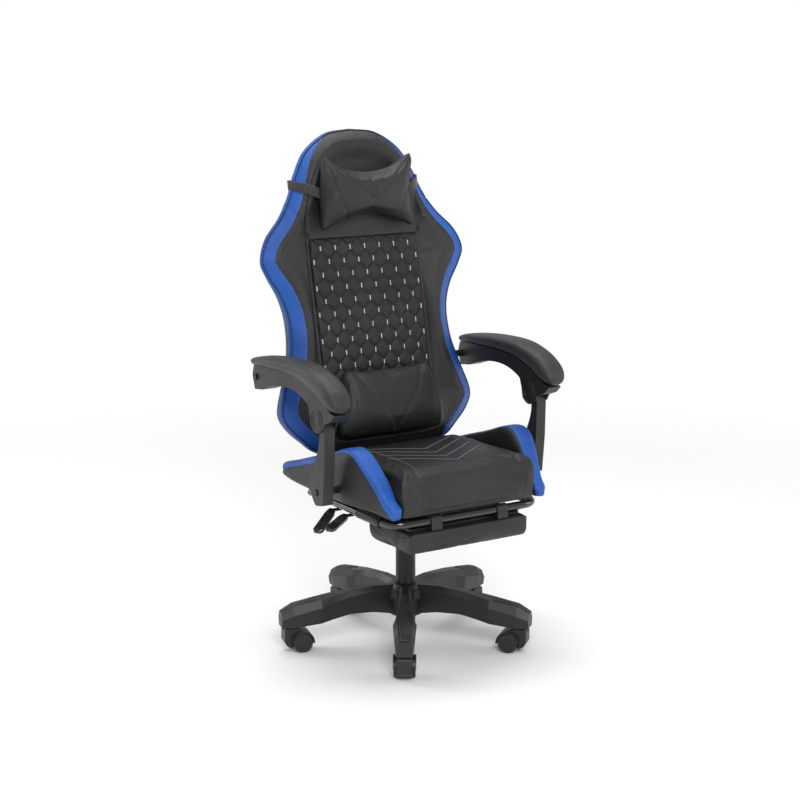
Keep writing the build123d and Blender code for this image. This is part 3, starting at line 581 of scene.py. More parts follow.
# ---- back cover
backValues = {
    "edge": [(0, 0), (120, 1), (188, 14), (228, 44), (266, 82), (283, 125), (262, 196), (240, 270),
             (236, 345),
             (252, 405), (284, 460), (298, 500), (278, 552), (230, 604), (197, 655), (172, 712), (136, 768),
             (72, 810), (0, 820)],
    "bandAt": [0, 60, 120, 300, 400, 480, 560, 640, 700, 760, 800, 820],   # height up the back
    "band": [20, 32, 36, 37, 36, 34, 33, 30, 26, 18, 6, -3],      # blue band's width there
    "ridge": [34, 42, 46, 47, 49, 53, 48, 44, 41, 38, 36, 34],    # edge to the ridge
    "panelHalf": 160, "quiltTop": 547, "rise": 39, "front": -12, "rear": -39, "rearRound": 36,
    "lead": 14, "leadAt": 500, "leadOver": 85,
    "pipingIn": 4.5, "pipingRadius": 1.7,
}
backEdge = curveThrough(backValues["edge"], 360)


def upTo(up, key):
    return np.interp(up, backValues["bandAt"], backValues[key])


# How far the outline stands forward at the shoulders.
def shoulderLead(up):
    v = backValues
    return v["lead"] * np.exp(-((up - v["leadAt"]) / v["leadOver"]) ** 2)


# Height of the cover's front: a rounded ramp from the edge to the ridge, then down to the middle panel,
# or in the head section down into a shallow dish. A seam crosses from the neck to the panel's corner.
def coverFront(across, up):
    across, up = np.abs(across), np.asarray(up, float)
    shape = np.broadcast(across, up).shape
    flat = np.stack(np.broadcast_arrays(across, up), -1).reshape(-1, 2)
    gap, along = distanceTo(flat, backEdge)
    across, up = flat[:, 0], flat[:, 1]
    ridge, v = upTo(up, "ridge"), backValues
    q = np.clip(gap / ridge, 0, 1)
    lead = shoulderLead(up)
    slope = 0.52 * q + 0.48 * np.sqrt(1 - (1 - q) ** 2)
    ramp1 = v["front"] + lead + (v["rise"] - lead) * slope - 2.2 * np.exp(-((gap - ridge) / 4) ** 2)
    past = np.maximum(gap - ridge, 0)
    inner = past / np.maximum(past + np.maximum(across - v["panelHalf"], 0), 1e-6)
    body = 19 * smooth(inner, 0.0, 1.0) ** 0.9
    dish = 13 * smooth(past, 4, 46)
    headShare = smooth(up, 585, 660)
    body = np.where((across < v["panelHalf"]) & (up > v["quiltTop"]), 14 * np.ones_like(body), body)
    height = ramp1 - body * (1 - headShare) - dish * headShare
    corner = np.array([(214, 642), (196, 622), (178, 592), (165, 560), (160, 546)], float)
    seam, _ = distanceTo(flat, curveThrough(corner, 40))
    # the panel behind the quilt is set lower
    height = height - 6 * smooth(v["panelHalf"] - across, 0, 8) * smooth(v["quiltTop"] - up, 0, 8)
    crease = 3.0 * np.exp(-(seam / 3.2) ** 2) + 5 * np.exp(-((across - v["panelHalf"] - 3)
                                                             / 5) ** 2) * (up < 560)
    topSeam = 2.4 * np.exp(-((up - v["quiltTop"] - 3) / 4) ** 2) * (across < v["panelHalf"] + 4)
    bandGap = gap - upTo(up, "band")
    pucker = 0.55 * np.sin(along * 2 * np.pi / 15
                           + np.sin(along / 31)) * np.exp(-(np.abs(bandGap) / 8)) * smooth(gap, 0, 12)
    stretch = 0.9 * np.sin(along / 47 + gap / 30) * smooth(gap, 40, 90)
    seamLine = 1.1 * np.exp(-(bandGap / 1.8) ** 2)
    return (height - crease - topSeam - seamLine + pucker
            + stretch).reshape(shape), gap.reshape(shape), along.reshape(shape)


# Height of the cover's rear: a round edge, then almost flat, with two long seams.
def coverRear(across, up):
    across, up = np.abs(across), np.asarray(up, float)
    flat = np.stack(np.broadcast_arrays(across, up), -1).reshape(-1, 2)
    gap, _ = distanceTo(flat, backEdge)
    v = backValues
    q = np.clip(gap / (v["rearRound"] - 24 * (1 - smooth(flat[:, 1], 330, 460))), 0, 1)
    thin = 7 * smooth(flat[:, 1], 380, 620)
    # the shell's edge is full at the waist and drawn in flat behind the shoulders and head
    full = 1 - 0.85 * smooth(flat[:, 1], 380, 500)
    start = v["front"] - 1 + shoulderLead(flat[:, 1])
    height = start - (start - v["rear"] - thin) * (full * np.sqrt(1 - (1 - q) ** 2) + (1 - full) * q)
    seams = 1.6 * np.exp(-((flat[:, 0] - 128) / 2.5) ** 2) * smooth(gap, 10, 30) * (flat[:, 1] < 640)
    cross = 1.6 * np.exp(-((flat[:, 1] - 640) / 2.5) ** 2) * smooth(gap, 10, 30)
    return (height + seams + cross).reshape(np.broadcast(across, up).shape), gap


def makeBackCover():
    rows = backEdge[np.linspace(0, 359, 271).astype(int)]
    q = np.linspace(0, 1, 104)
    share = 1 - (1 - q) ** 1.45
    share = np.concatenate([-share[::-1], share[1:]])
    across, up = rows[:, :1] * share, rows[:, 1:] * np.ones(len(share))
    front, gap, along = coverFront(across, up)
    rearShare = 1 - (1 - np.linspace(0, 1, 34)) ** 1.5
    rearShare = np.concatenate([rearShare[::-1][1:], -rearShare[1:-1]])
    rearAcross, rearUp = rows[:, :1] * rearShare, rows[:, 1:] * np.ones(len(rearShare))
    rear, rearGap = coverRear(rearAcross, rearUp)
    grid = np.concatenate([onBack(across, up, front), onBack(rearAcross, rearUp, rear)], 1)
    side = upTo(up, "band") - gap - 60 * (1 - smooth(np.abs(across), 150, 185)) * (1 - smooth(up, 50, 80))
    side = np.minimum(side, 0.3 + gap)
    rearSide = 0.3 - 1.2 * rearGap.reshape(rear.shape) - 3 * smooth(rearUp, 790, 815)
    cover = newPiece("backCover", grid, gridFaces(grid.shape[0], grid.shape[1], True), backLeather, "back",
                     attributes={"bandSide": np.concatenate([side, rearSide], 1)})
    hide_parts("back_pad", "back_bolster_left", "back_bolster_right", "back_shell")
    return cover


# A line drawn on the cover's front, lifted to its surface, with the outward direction there.
def onCover(line, lift=0.0):
    line = np.asarray(line, float)
    height = coverFront(line[:, 0], line[:, 1])[0]
    near = coverFront(line[:, 0] + 2, line[:, 1])[0], coverFront(line[:, 0], line[:, 1] + 2)[0]
    here = onBack(line[:, 0], line[:, 1], height)
    out = np.cross(onBack(line[:, 0] + 2, line[:, 1], near[0]) - here,
                   onBack(line[:, 0], line[:, 1] + 2, near[1]) - here)
    out /= np.maximum(np.linalg.norm(out, axis=1, keepdims=True), 1e-9)
    return here + out * lift, out


# The outline drawn in by a distance, each point square to the edge; closed over both halves.
def drawnIn(inset, low=0, high=820, count=420):
    ahead = np.gradient(backEdge, axis=0)
    ahead /= np.linalg.norm(ahead, axis=1, keepdims=True)
    line = backEdge + np.stack([-ahead[:, 1], ahead[:, 0]], 1) * np.asarray(inset).reshape(-1, 1)
    line = line[(line[:, 0] > 0) & (line[:, 1] >= low) & (line[:, 1] <= high)]
    return curveThrough(line[::4], count)


def makeBackTrim():
    v = backValues
    half = drawnIn(v["pipingIn"], 0, 830)
    whole = np.vstack([half, half[::-1] * (-1, 1)])
    path, out = onCover(curveThrough(whole[::3], 700, closed=True), 0.9)
    piping = newPiece("backPiping", *cordMesh(path, out, v["pipingRadius"], 8, loop=True), pipingAndSeamShadeLeather,
                      "back")
    seams, dark, blue = [], [], []
    band = np.maximum(upTo(backEdge[:, 1], "band"), 1.0)
    line = drawnIn(band, 44, 805, 600)
    innerLine = drawnIn(band + 3.2, 44, 790, 600)
    outerLine = drawnIn(band - 3.2, 44, 780, 600)
    cornerLine = curveThrough([(188, 612), (176, 588), (165, 560), (160, 546)], 60)
    sideLine = curveThrough([(163, 546), (163, 400), (163, 200), (163, 30)], 200)
    # The cords in the band, corner, side and top seams lie in their grooves as dark lines: painted shade for
    # each seam.
    for sign in (1, -1):
        flip = (sign, 1)
        seams.append(cordMesh(*onCover(line * flip, 0.1), 0.8, 6))
        seams.append(cordMesh(*onCover(cornerLine * flip, 0.3), 0.8, 6))
        seams.append(cordMesh(*onCover(sideLine * flip, 0.3), 0.9, 6))
        dark.append(stitchMesh(*onCover(innerLine * flip, 0.1), 5.2, 3.6, 0.55))
        dark.append(stitchMesh(*onCover((cornerLine + (4, 1)) * flip, 0.1), 5.2, 3.6, 0.5))
        blue.append(stitchMesh(*onCover(outerLine * flip, 0.1), 5.2, 3.6, 0.55))
    topLine = np.stack([np.linspace(-158, 158, 120), np.full(120, 550.0)], 1)
    seams.append(cordMesh(*onCover(topLine, 0.3), 0.9, 6))
    dark.append(stitchMesh(*onCover(topLine + (0, 5), 0.1), 5.2, 3.6, 0.5))
    for name, parts, look, slot in (("backSeamShade", seams, blackThreadAndSeamShade, "leather_black"),
                                    ("backStitches", dark, blackThreadAndSeamShade, "leather_black"),
                                    ("bandStitches", blue, blueThread, "leather_blue")):
        newPiece(name, *joinMeshes(parts), look, "back", closed=False)


# ---- quilted panel: hexagonal cells between upright bars, each a low pillow
quilt = {"pitch": 43.0, "row": 33.0, "bar": 13.0, "barWidth": 4.8, "puff": 6.0, "base": 5.2, "top": 545.0,
         "bottom": 58.0, "half": 158.0, "shiftUp": 521.0}


def quiltGap(across, up):
    v = quilt
    x = np.abs((across + v["pitch"] / 2) % v["pitch"] - v["pitch"] / 2)
    y = np.abs((up - v["shiftUp"] + v["row"]) % (2 * v["row"]) - v["row"])
    half, rise = v["pitch"] / 2, v["row"]
    a, b = np.array([0, v["bar"] / 2]), np.array([half, rise - v["bar"] / 2])
    step = b - a
    t = np.clip(((x - a[0]) * step[0] + (y - a[1]) * step[1]) / (step @ step), 0, 1)
    slant = np.hypot(x - a[0] - t * step[0], y - a[1] - t * step[1])
    low = np.hypot(x, np.maximum(y - v["bar"] / 2, 0))
    high = np.hypot(half - x, np.maximum(rise - v["bar"] / 2 - y, 0))
    return np.minimum(np.minimum(low, high), slant)


def quiltHeight(across, up):
    v = quilt
    gap = quiltGap(across, up)
    puff = v["puff"] * np.sqrt(1 - (1 - np.clip(gap / 15, 0, 1)) ** 2)
    border = np.minimum(v["half"] - np.abs(across), v["top"] - up)
    rim = np.sqrt(1 - (1 - np.clip(border / 9, 0, 1)) ** 2)
    return v["base"] + (puff + 1.4) * rim + 1.6 * np.sin(np.clip(border / 60, 0, 1) * np.pi / 2)


def makeQuilt():
    v = quilt
    across, up = np.meshgrid(np.linspace(-v["half"], v["half"], 191),
                             np.linspace(v["bottom"], v["top"], 316))
    grid = onBack(across, up, quiltHeight(across, up))
    panel = newPiece("backQuilt", grid, gridFaces(*across.shape), quiltLeather, "back", closed=False)
    backing = panel.modifiers.new("foamBehind", "SOLIDIFY")
    backing.thickness, backing.offset = 0.003, -1
    rows = np.arange(-16, 2)
    columns = np.arange(-5, 6)
    k, j = np.meshgrid(rows, columns, indexing="ij")
    x = (j + 0.5 * (k % 2)) * v["pitch"]
    y = v["shiftUp"] + k * v["row"]
    keep = (np.abs(x) < v["half"] - 3) & (y > 120) & (y < v["top"] - 8)
    x, y = x[keep], y[keep]
    # one bar: a satin-stitched block, threads side by side across it
    s, t = np.meshgrid(np.linspace(-1, 1, 7), np.linspace(-1, 1, 15))
    threads, ends = 1.25 + 0.22 * np.cos(t * 7 * np.pi), np.clip((1 - np.abs(t)) * 9, 0, 1)
    dome = np.sqrt(np.clip(1 - np.abs(s) ** 2.4, 0, 1)) * threads * ends
    barX = x[:, None, None] + s * v["barWidth"] / 2
    barY = y[:, None, None] + t * v["bar"] / 2
    centre = quiltHeight(x, y)[:, None, None]
    points = onBack(barX, barY, centre + 0.3 + dome * 1.7)
    faces = (gridFaces(15, 7)[None] + (np.arange(len(x)) * 105)[:, None, None]).reshape(-1, 4)
    bars = newPiece("quiltBars", points, faces, whiteThread, "back", closed=False)
    # the slanted quilting thread between bars
    lines = []
    for sign in (1, -1):
        t = np.linspace(0, 1, 9)
        for x0, y0 in zip(x, y):
            fall = v["bar"] / 2 + t * (v["row"] - v["bar"])
            line = np.stack([x0 + sign * t * v["pitch"] / 2, y0 - fall], 1)
            line = line[np.abs(line[:, 0]) < v["half"] - 2]
            if len(line) > 3:
                here = onBack(line[:, 0], line[:, 1], quiltHeight(line[:, 0], line[:, 1]) + 0.35)
                lines.append(stitchMesh(here, np.tile(backFront, (len(here), 1)), 4.6, 3.6, 0.5))
    newPiece("quiltStitches", *joinMeshes(lines), blackThreadAndSeamShade, "back", closed=False)


makeBackCover()
makeBackTrim()
makeQuilt()
print("back made")


# ---- cushions made as grids, then stuffed
# Closed loop of a side profile (along y, up z) carried across x. Towards each end it is drawn in square to
# itself by a quarter round, then closed over its own middle.
def loftAcross(profile, half, radius, middle, roundSteps=7, capSteps=9):
    ahead = np.roll(profile, -1, 0) - np.roll(profile, 1, 0)
    ahead /= np.linalg.norm(ahead, axis=1, keepdims=True)
    inward = np.stack([-ahead[:, 1], ahead[:, 0]], 1)
    centre = profile.mean(0)
    inward *= np.sign(((centre - profile) * inward).sum())
    turn = np.linspace(0, np.pi / 2, roundSteps + 1)[1:]
    x = np.concatenate([np.linspace(0, half - radius, middle), half - radius + radius * np.sin(turn),
                        np.full(capSteps, half)])
    draw = np.concatenate([np.zeros(middle), radius * (1 - np.cos(turn)), np.full(capSteps, radius)])
    scale = np.concatenate([np.ones(middle + roundSteps), 1 - np.linspace(0, 1, capSteps + 1)[1:]])
    x, draw, scale = (np.concatenate([s * k[::-1][:-1], k]) for s, k in ((-1, x), (1, draw), (1, scale)))
    ring = profile[None] + inward[None] * draw[:, None, None]
    ring = centre + (ring - centre) * scale[:, None, None]
    return np.concatenate([np.broadcast_to(x[:, None, None], (*ring.shape[:2], 1)), ring], 2)


# Sinks a groove into a piece along a line, square to its surface.
def carve(obj, line, depth, width):
    points = readPoints(obj)
    normals = np.zeros(len(points) * 3, np.float32)
    obj.data.vertex_normals.foreach_get("vector", normals)
    gap, _ = distanceTo(points, line)
    push = depth * np.exp(-(gap / width) ** 2)
    writePoints(obj, points - normals.reshape(-1, 3) * push[:, None])


# Drops a line of points onto a piece's surface, and gives the outward direction there.
def layOn(obj, line, toward, lift=0.0):
    from mathutils.bvhtree import BVHTree
    tree = BVHTree.FromObject(obj, bpy.context.evaluated_depsgraph_get())
    toward = Vector(toward).normalized()
    here, out = [], []
    for point in line:
        place, normal, _, _ = tree.ray_cast(Vector(point) * mm - toward * 0.3, toward)
        if place is not None:
            here.append(np.array(place) / mm)
            out.append(np.array(normal))
    here, out = np.array(here), np.array(out)
    out = out * np.where(out @ np.array(toward) > 0, -1, 1)[:, None]
    for _ in range(2):
        out[1:-1] = (out[:-2] + out[1:-1] + out[2:]) / 3
    out /= np.linalg.norm(out, axis=1, keepdims=True)
    return here + out * lift, out


# One round of smoothing over the finished skin, brought up to date so that the seam cords of painted shade
# can be laid on it.
def smoothSkin(obj):
    finer = obj.modifiers.new("finer", "SUBSURF")
    finer.levels = finer.render_levels = 1
    bpy.context.view_layer.update()


# Dark cords sunk into the groove of each seam on a piece's surface, painted shade for the seam line, each
# with a row of stitches beside it.
def shadeCordsAndStitches(name, obj, lines, toward, body, width=0.8, offset=4.0, stitched=True, look=None):
    cords, stitches = [], []
    for line in lines:
        path, out = layOn(obj, curveThrough(line, max(24, int(runLength(np.asarray(line, float))[-1] / 4))),
                          toward, 0.15)
        # The cord lies down in the groove: a dark thing standing in for the groove's shade.
        cords.append(cordMesh(path - out * 0.7, out, width, 6))
        if stitched:
            _, side, _ = pathFrames(path, out)
            near, out2 = layOn(obj, path + side * offset, toward, 0.1)
            stitches.append(stitchMesh(near, out2, 5.0, 3.5, 0.5))
    newPiece(name + "SeamShade", *joinMeshes(cords), blackThreadAndSeamShade, body, closed=False)
    if stitches:
        newPiece(name + "Stitches", *joinMeshes(stitches), look or blackThreadAndSeamShade, body, closed=False)


# ---- head pillow: two sheets over a shaped outline, stuffed, with pinched corners
headValues = {"centre": 661, "halfWide": 141, "halfTall": 88, "dipTop": 34, "dipBottom": 20, "rim": 38,
              "front": 36, "rear": 18,
              "pressure": 5.0, "cap": 11, "columns": 74, "rows": 50}


def makeHeadPillow():
    v = headValues
    a, b = np.meshgrid(np.linspace(-1, 1, v["columns"]), np.linspace(-1, 1, v["rows"]))
    q = (b + 1) / 2
    top = v["halfTall"] - v["dipTop"] * (1 - a ** 2) ** 1.2
    low = -v["halfTall"] - 14 + (v["dipBottom"] + 12) * (1 - a ** 2) ** 1.2
    up = v["centre"] + low + (top - low) * q
    across = v["halfWide"] * a * (1 - 0.035 * (1 - b ** 2))
    swell = ((1 - a ** 2) * (1 - b ** 2)) ** 0.36
    blunt = 1 - 0.05 * np.abs(a * b) ** 9
    across, up = across * blunt, v["centre"] + (up - v["centre"]) * blunt
    rim = v["rim"] + 10 * b + 26 * a ** 2 * np.maximum(b, 0)
    front = onBack(across, up, rim + v["front"] * swell)
    rear = onBack(across, up, rim - v["rear"] * swell)
    start = front.shape[0] * front.shape[1]
    points = np.concatenate([front.reshape(-1, 3), rear.reshape(-1, 3)])
    faces = np.concatenate([gridFaces(*a.shape), gridFaces(*a.shape, start=start)])
    pillow = newPiece("headPillow", points, faces, blackLeather, "back")
    after = readPoints(pillow)
    out = (after - backFoot) @ backFront
    inflate(pillow, np.where(out < v["rim"] - 20, 0.6, 0.0), v)
    after = readPoints(pillow)
    out = (after - backFoot) @ backFront
    upAt = (after - backFoot) @ backUp
    rest = coverFront(after[:, 0], upAt)[0] + 1.5
    floor = np.maximum(rest, 13.5)
    lift = np.maximum(floor - out, 0) * (out < 40)
    after += backFront * lift[:, None]
    # small creases run in from the pinched corners and the sides
    wave = np.sin(upAt / 5.2 + after[:, 0] / 17) * np.exp(-((v["halfWide"] - np.abs(after[:, 0]))
                                                            / 26) ** 2)
    writePoints(pillow, after + backFront * (1.3 * wave * smooth(out, 30, 60))[:, None])
    seams = [
        [(-128, 742), (-96, 712), (-52, 672), (-14, 642), (0, 631)],
        [(128, 742), (96, 712), (52, 672), (14, 642), (0, 631)],
        [(0, 631), (1, 612), (-4, 596), (-14, 584)],
        [(-124, 736), (-112, 690), (-98, 650), (-80, 612), (-66, 584)],
        [(124, 736), (114, 690), (102, 650), (88, 612), (74, 586)],
    ]
    lines = [onBack(np.array(s)[:, 0], np.array(s)[:, 1], 60.0) for s in map(np.array, seams)]
    surfaced = [layOn(pillow, curveThrough(s, 50), -backFront)[0] for s in lines]
    for s in surfaced:
        carve(pillow, s, 2.6, 5.0)
    smoothSkin(pillow)
    shadeCordsAndStitches("headPillow", pillow, lines, -backFront, "back", 0.8, stitched=False)
    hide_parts("head_pillow")


# ---- lumbar pillow: a boxy cushion with full sides
lumbarValues = {"centre": 128, "halfWide": 148, "halfTall": 84, "low": 12, "high": 86, "pressure": 4.0,
                "cap": 6}


def superCorner(t, power):
    c, s = np.cos(t), np.sin(t)
    return np.sign(c) * np.abs(c) ** (2 / power), np.sign(s) * np.abs(s) ** (2 / power)


def makeLumbarPillow():
    v = lumbarValues
    turn = np.linspace(0, 2 * np.pi, 112, endpoint=False)
    c, s = superCorner(turn, 3.4)
    middle, depth = (v["low"] + v["high"]) / 2, (v["high"] - v["low"]) / 2
    # the section leans: its front is fuller below, and its top slopes back into the chair
    upAt = v["centre"] + v["halfTall"] * s * (1 - 0.10 * (c > 0) * c ** 2)
    outAt = middle + depth * c * (1 - 0.34 * smooth(s, -0.2, 1.0))
    grid = loftAcross(np.stack([upAt, outAt], 1), v["halfWide"], 26, 26, 9, 8)
    grid[..., 0] *= 1 - 0.09 * smooth(grid[..., 1], 60, 205)
    points = onBack(grid[..., 0], grid[..., 1], grid[..., 2])
    pillow = newPiece("lumbarPillow", points, gridFaces(points.shape[0], points.shape[1], True),
                      blackLeather, "back")
    out = (readPoints(pillow) - backFoot) @ backFront
    inflate(pillow, np.where(out < 16, 1.0, 0.0), v)
    after = readPoints(pillow)
    rel = after - backFoot
    out, upAt = rel @ backFront, rel @ backUp
    after += backFront * np.maximum(12.0 - out, 0)[:, None]
    soft = 1.4 * np.sin(after[:, 0] / 36 + upAt / 24) * smooth(out, 30, 70)
    writePoints(pillow, after + backFront * soft[:, None])
    seams = [[(-98, 196), (-70, 158), (-34, 108), (-8, 70), (0, 56)],
             [(92, 200), (70, 158), (36, 108), (10, 70), (0, 56)],
             [(0, 56), (1, 50)], [(-116, 192), (-115, 150), (-110, 100), (-104, 56)],
             [(115, 196), (117, 150), (118, 100), (116, 60)]]
    lines = [onBack(np.array(s)[:, 0], np.array(s)[:, 1], 90.0) for s in map(np.array, seams)]
    for s in lines:
        carve(pillow, layOn(pillow, curveThrough(s, 50), -backFront)[0], 2.2, 4.5)
    smoothSkin(pillow)
    shadeCordsAndStitches("lumbarPillow", pillow, lines, -backFront, "back", 0.85, stitched=False)
    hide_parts("lumbar_pillow")


# ---- elastic strap: a flat band carried round the head section
strapValues = {"half": 12.5, "thick": 1.5,
               "path": [(-122, 30, 654), (-140, 36, 660), (-158, 30, 668), (-176, 12, 677),
                        (-186.5, -6, 683), (-187, -17, 685), (-173, -33, 687),
                        (-160, -41.5, 688), (-90, -42, 688), (0, -42, 688)]}


def makeStrap():
    v = strapValues
    half = np.array(v["path"], float)
    whole = np.vstack([half, (half * (-1, 1, 1))[::-1][1:]])
    path = curveThrough(whole, 190)
    centre = onBack(path[:, 0], path[:, 2], path[:, 1])
    ahead = np.gradient(centre, axis=0)
    ahead /= np.linalg.norm(ahead, axis=1, keepdims=True)
    side = backUp - ahead * (ahead @ backUp)[:, None]
    side /= np.linalg.norm(side, axis=1, keepdims=True)
    out = np.cross(side, ahead)
    s = np.array([-1, -0.9, 0, 0.9, 1, 0.9, 0, -0.9]) * v["half"]
    t = np.array([0, 1, 1, 1, 0, -1, -1, -1]) * v["thick"] / 2
    grid = centre[:, None] + side[:, None] * s[None, :, None] + out[:, None] * t[None, :, None]
    faces = gridFaces(len(grid), 8, True).tolist() + [list(range(8))[::-1],
                                                      list(range(8 * len(grid) - 8, 8 * len(grid)))]
    band = newPiece("headStrap", grid, faces, blackElastic, "back", closed=False)
    uv = band.data.uv_layers.new(name="weave")
    index = np.zeros(len(band.data.loops), np.int32)
    band.data.loops.foreach_get("vertex_index", index)
    uv.data.foreach_set("uv", np.stack([s[index % 8] / 2.2, runLength(centre)[index // 8] / 40],
                                       1).astype(np.float32).ravel())
    shape = bmesh.new()
    shape.from_mesh(band.data)
    bmesh.ops.recalc_face_normals(shape, faces=shape.faces)
    shape.to_mesh(band.data)
    shape.free()
    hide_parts("head_strap")


makeHeadPillow()
makeLumbarPillow()
makeStrap()
print("pillows made")


# ---- seat cushion
seatValues = {"profile": [(-284, 410), (-290, 434), (-291, 470), (-289, 494), (-280, 507), (-262, 511.5),
                          (-200, 513.5), (-130, 513), (-60, 512), (0, 507),
                          (42, 502), (66, 493), (80, 480), (100, 470), (147, 461), (150, 440), (148, 419),
                          (60, 417.8), (-120, 417.8), (-236, 417.8), (-254, 409.5), (-272, 408)],
              "half": 189.5, "radius": 13, "pressure": 3.0, "cap": 5}


def makeSeat():
    v = seatValues
    profile = curveThrough(v["profile"], 190, closed=True)
    grid = loftAcross(profile, v["half"], v["radius"], 34, 6, 12)
    # the front edge reaches over the side wings' tips, and the top is dished for the sitter
    front = smooth(-grid[..., 1], 268, 291)
    top = smooth(grid[..., 2], 480, 508)
    grid[..., 0] *= 1 + 0.04 * front * smooth(grid[..., 2], 430, 500)
    bowl = (1 - (grid[..., 0] / 190) ** 2) * np.exp(-((grid[..., 1] + 80) / 120) ** 2)
    grid[..., 2] -= 2 * bowl * top
    seat = newPiece("seatCushion", grid, gridFaces(grid.shape[0], grid.shape[1], True), blackLeather,
                    "seat")
    held = (readPoints(seat)[:, 2] < 425) * 1.0
    inflate(seat, held, v)
    after = readPoints(seat)
    after[:, 2] = np.maximum(after[:, 2], np.where(after[:, 1] < -240, 407.5, 417.6))
    after[:, 0] = np.where(after[:, 1] > -262, np.clip(after[:, 0], -193.6, 193.6), after[:, 0])
    nearFront = np.exp(-((after[:, 1] + 280) / 22) ** 2)
    nearCorner = np.exp(-((np.abs(after[:, 0]) - 150) / 22) ** 2)
    crumple = 0.8 * np.sin(after[:, 0] / 9 + after[:, 2] / 14) * nearFront * nearCorner
    after[:, 1] -= crumple
    writePoints(seat, after)
    topLines, frontLines = [], []
    for sign in (-1, 1):
        wide = (176, 176, 174, 166, 152, 145) if sign > 0 else (120, 117, 116, 122, 134, 143)
        topLines.append([(sign * x, y, 520) for x, y in zip(wide, (20, -60, -140, -205, -250, -276))])
        frontLines.append([(sign * 146, -300, 496), (sign * 148, -300, 470), (sign * 149, -300, 445),
                           (sign * 148, -300, 422)])
        frontLines.append([(sign * 185, -300, 498), (sign * 183, -300, 480), (sign * 181, -300, 458)])
    for line, toward in [(s, (0, 0, -1)) for s in topLines] + [(s, (0, 1, 0)) for s in frontLines]:
        carve(seat, layOn(seat, curveThrough(line, 60), toward)[0], 2.4, 5.0)
    smoothSkin(seat)
    shadeCordsAndStitches("seatTop", seat, topLines, (0, 0, -1), "seat", 0.9, 4.5)
    shadeCordsAndStitches("seatFront", seat, frontLines[::2] + frontLines[1::2], (0, 1, 0), "seat", 0.9,
          4.5)
    # light chevron stitching, four rows that nest
    rows = []
    for k in range(4):
        tip = -92 - 46 * k
        rows.append([(0, tip, 520), (60, tip + 43, 520), (136, tip + 98, 520)])
        rows.append([(0, tip, 520), (-60, tip + 43, 520), (-136, tip + 98, 520)])
    parts = [stitchMesh(*layOn(seat, curveThrough(s, 40), (0, 0, -1), 0.1), 4.4, 3.4, 0.62) for s in rows]
    for s in rows:
        carve(seat, layOn(seat, curveThrough(s, 40), (0, 0, -1))[0], 0.9, 3.0)
    newPiece("seatChevrons", *joinMeshes(parts), greyThread, "seat", closed=False)
    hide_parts("seat_cushion")


# ---- seat wings: a rounded box section carried from the rear to the front tip
wingValues = {"crest": [(157, 466), (110, 478), (40, 500), (-60, 531), (-120, 552), (-158, 555),
                        (-188, 540), (-216, 514), (-244, 483), (-266, 452), (-284, 436), (-291, 420)],
              "under": [(157, 430), (110, 424), (60, 421), (0, 420), (-70, 419.5), (-120, 419), (-160, 419),
                        (-200, 417), (-240, 413), (-262, 410), (-275, 409), (-286, 410)],
              "inner": 195, "outer": 266, "tip": 223, "power": 5.0, "bandHalf": 23.5}


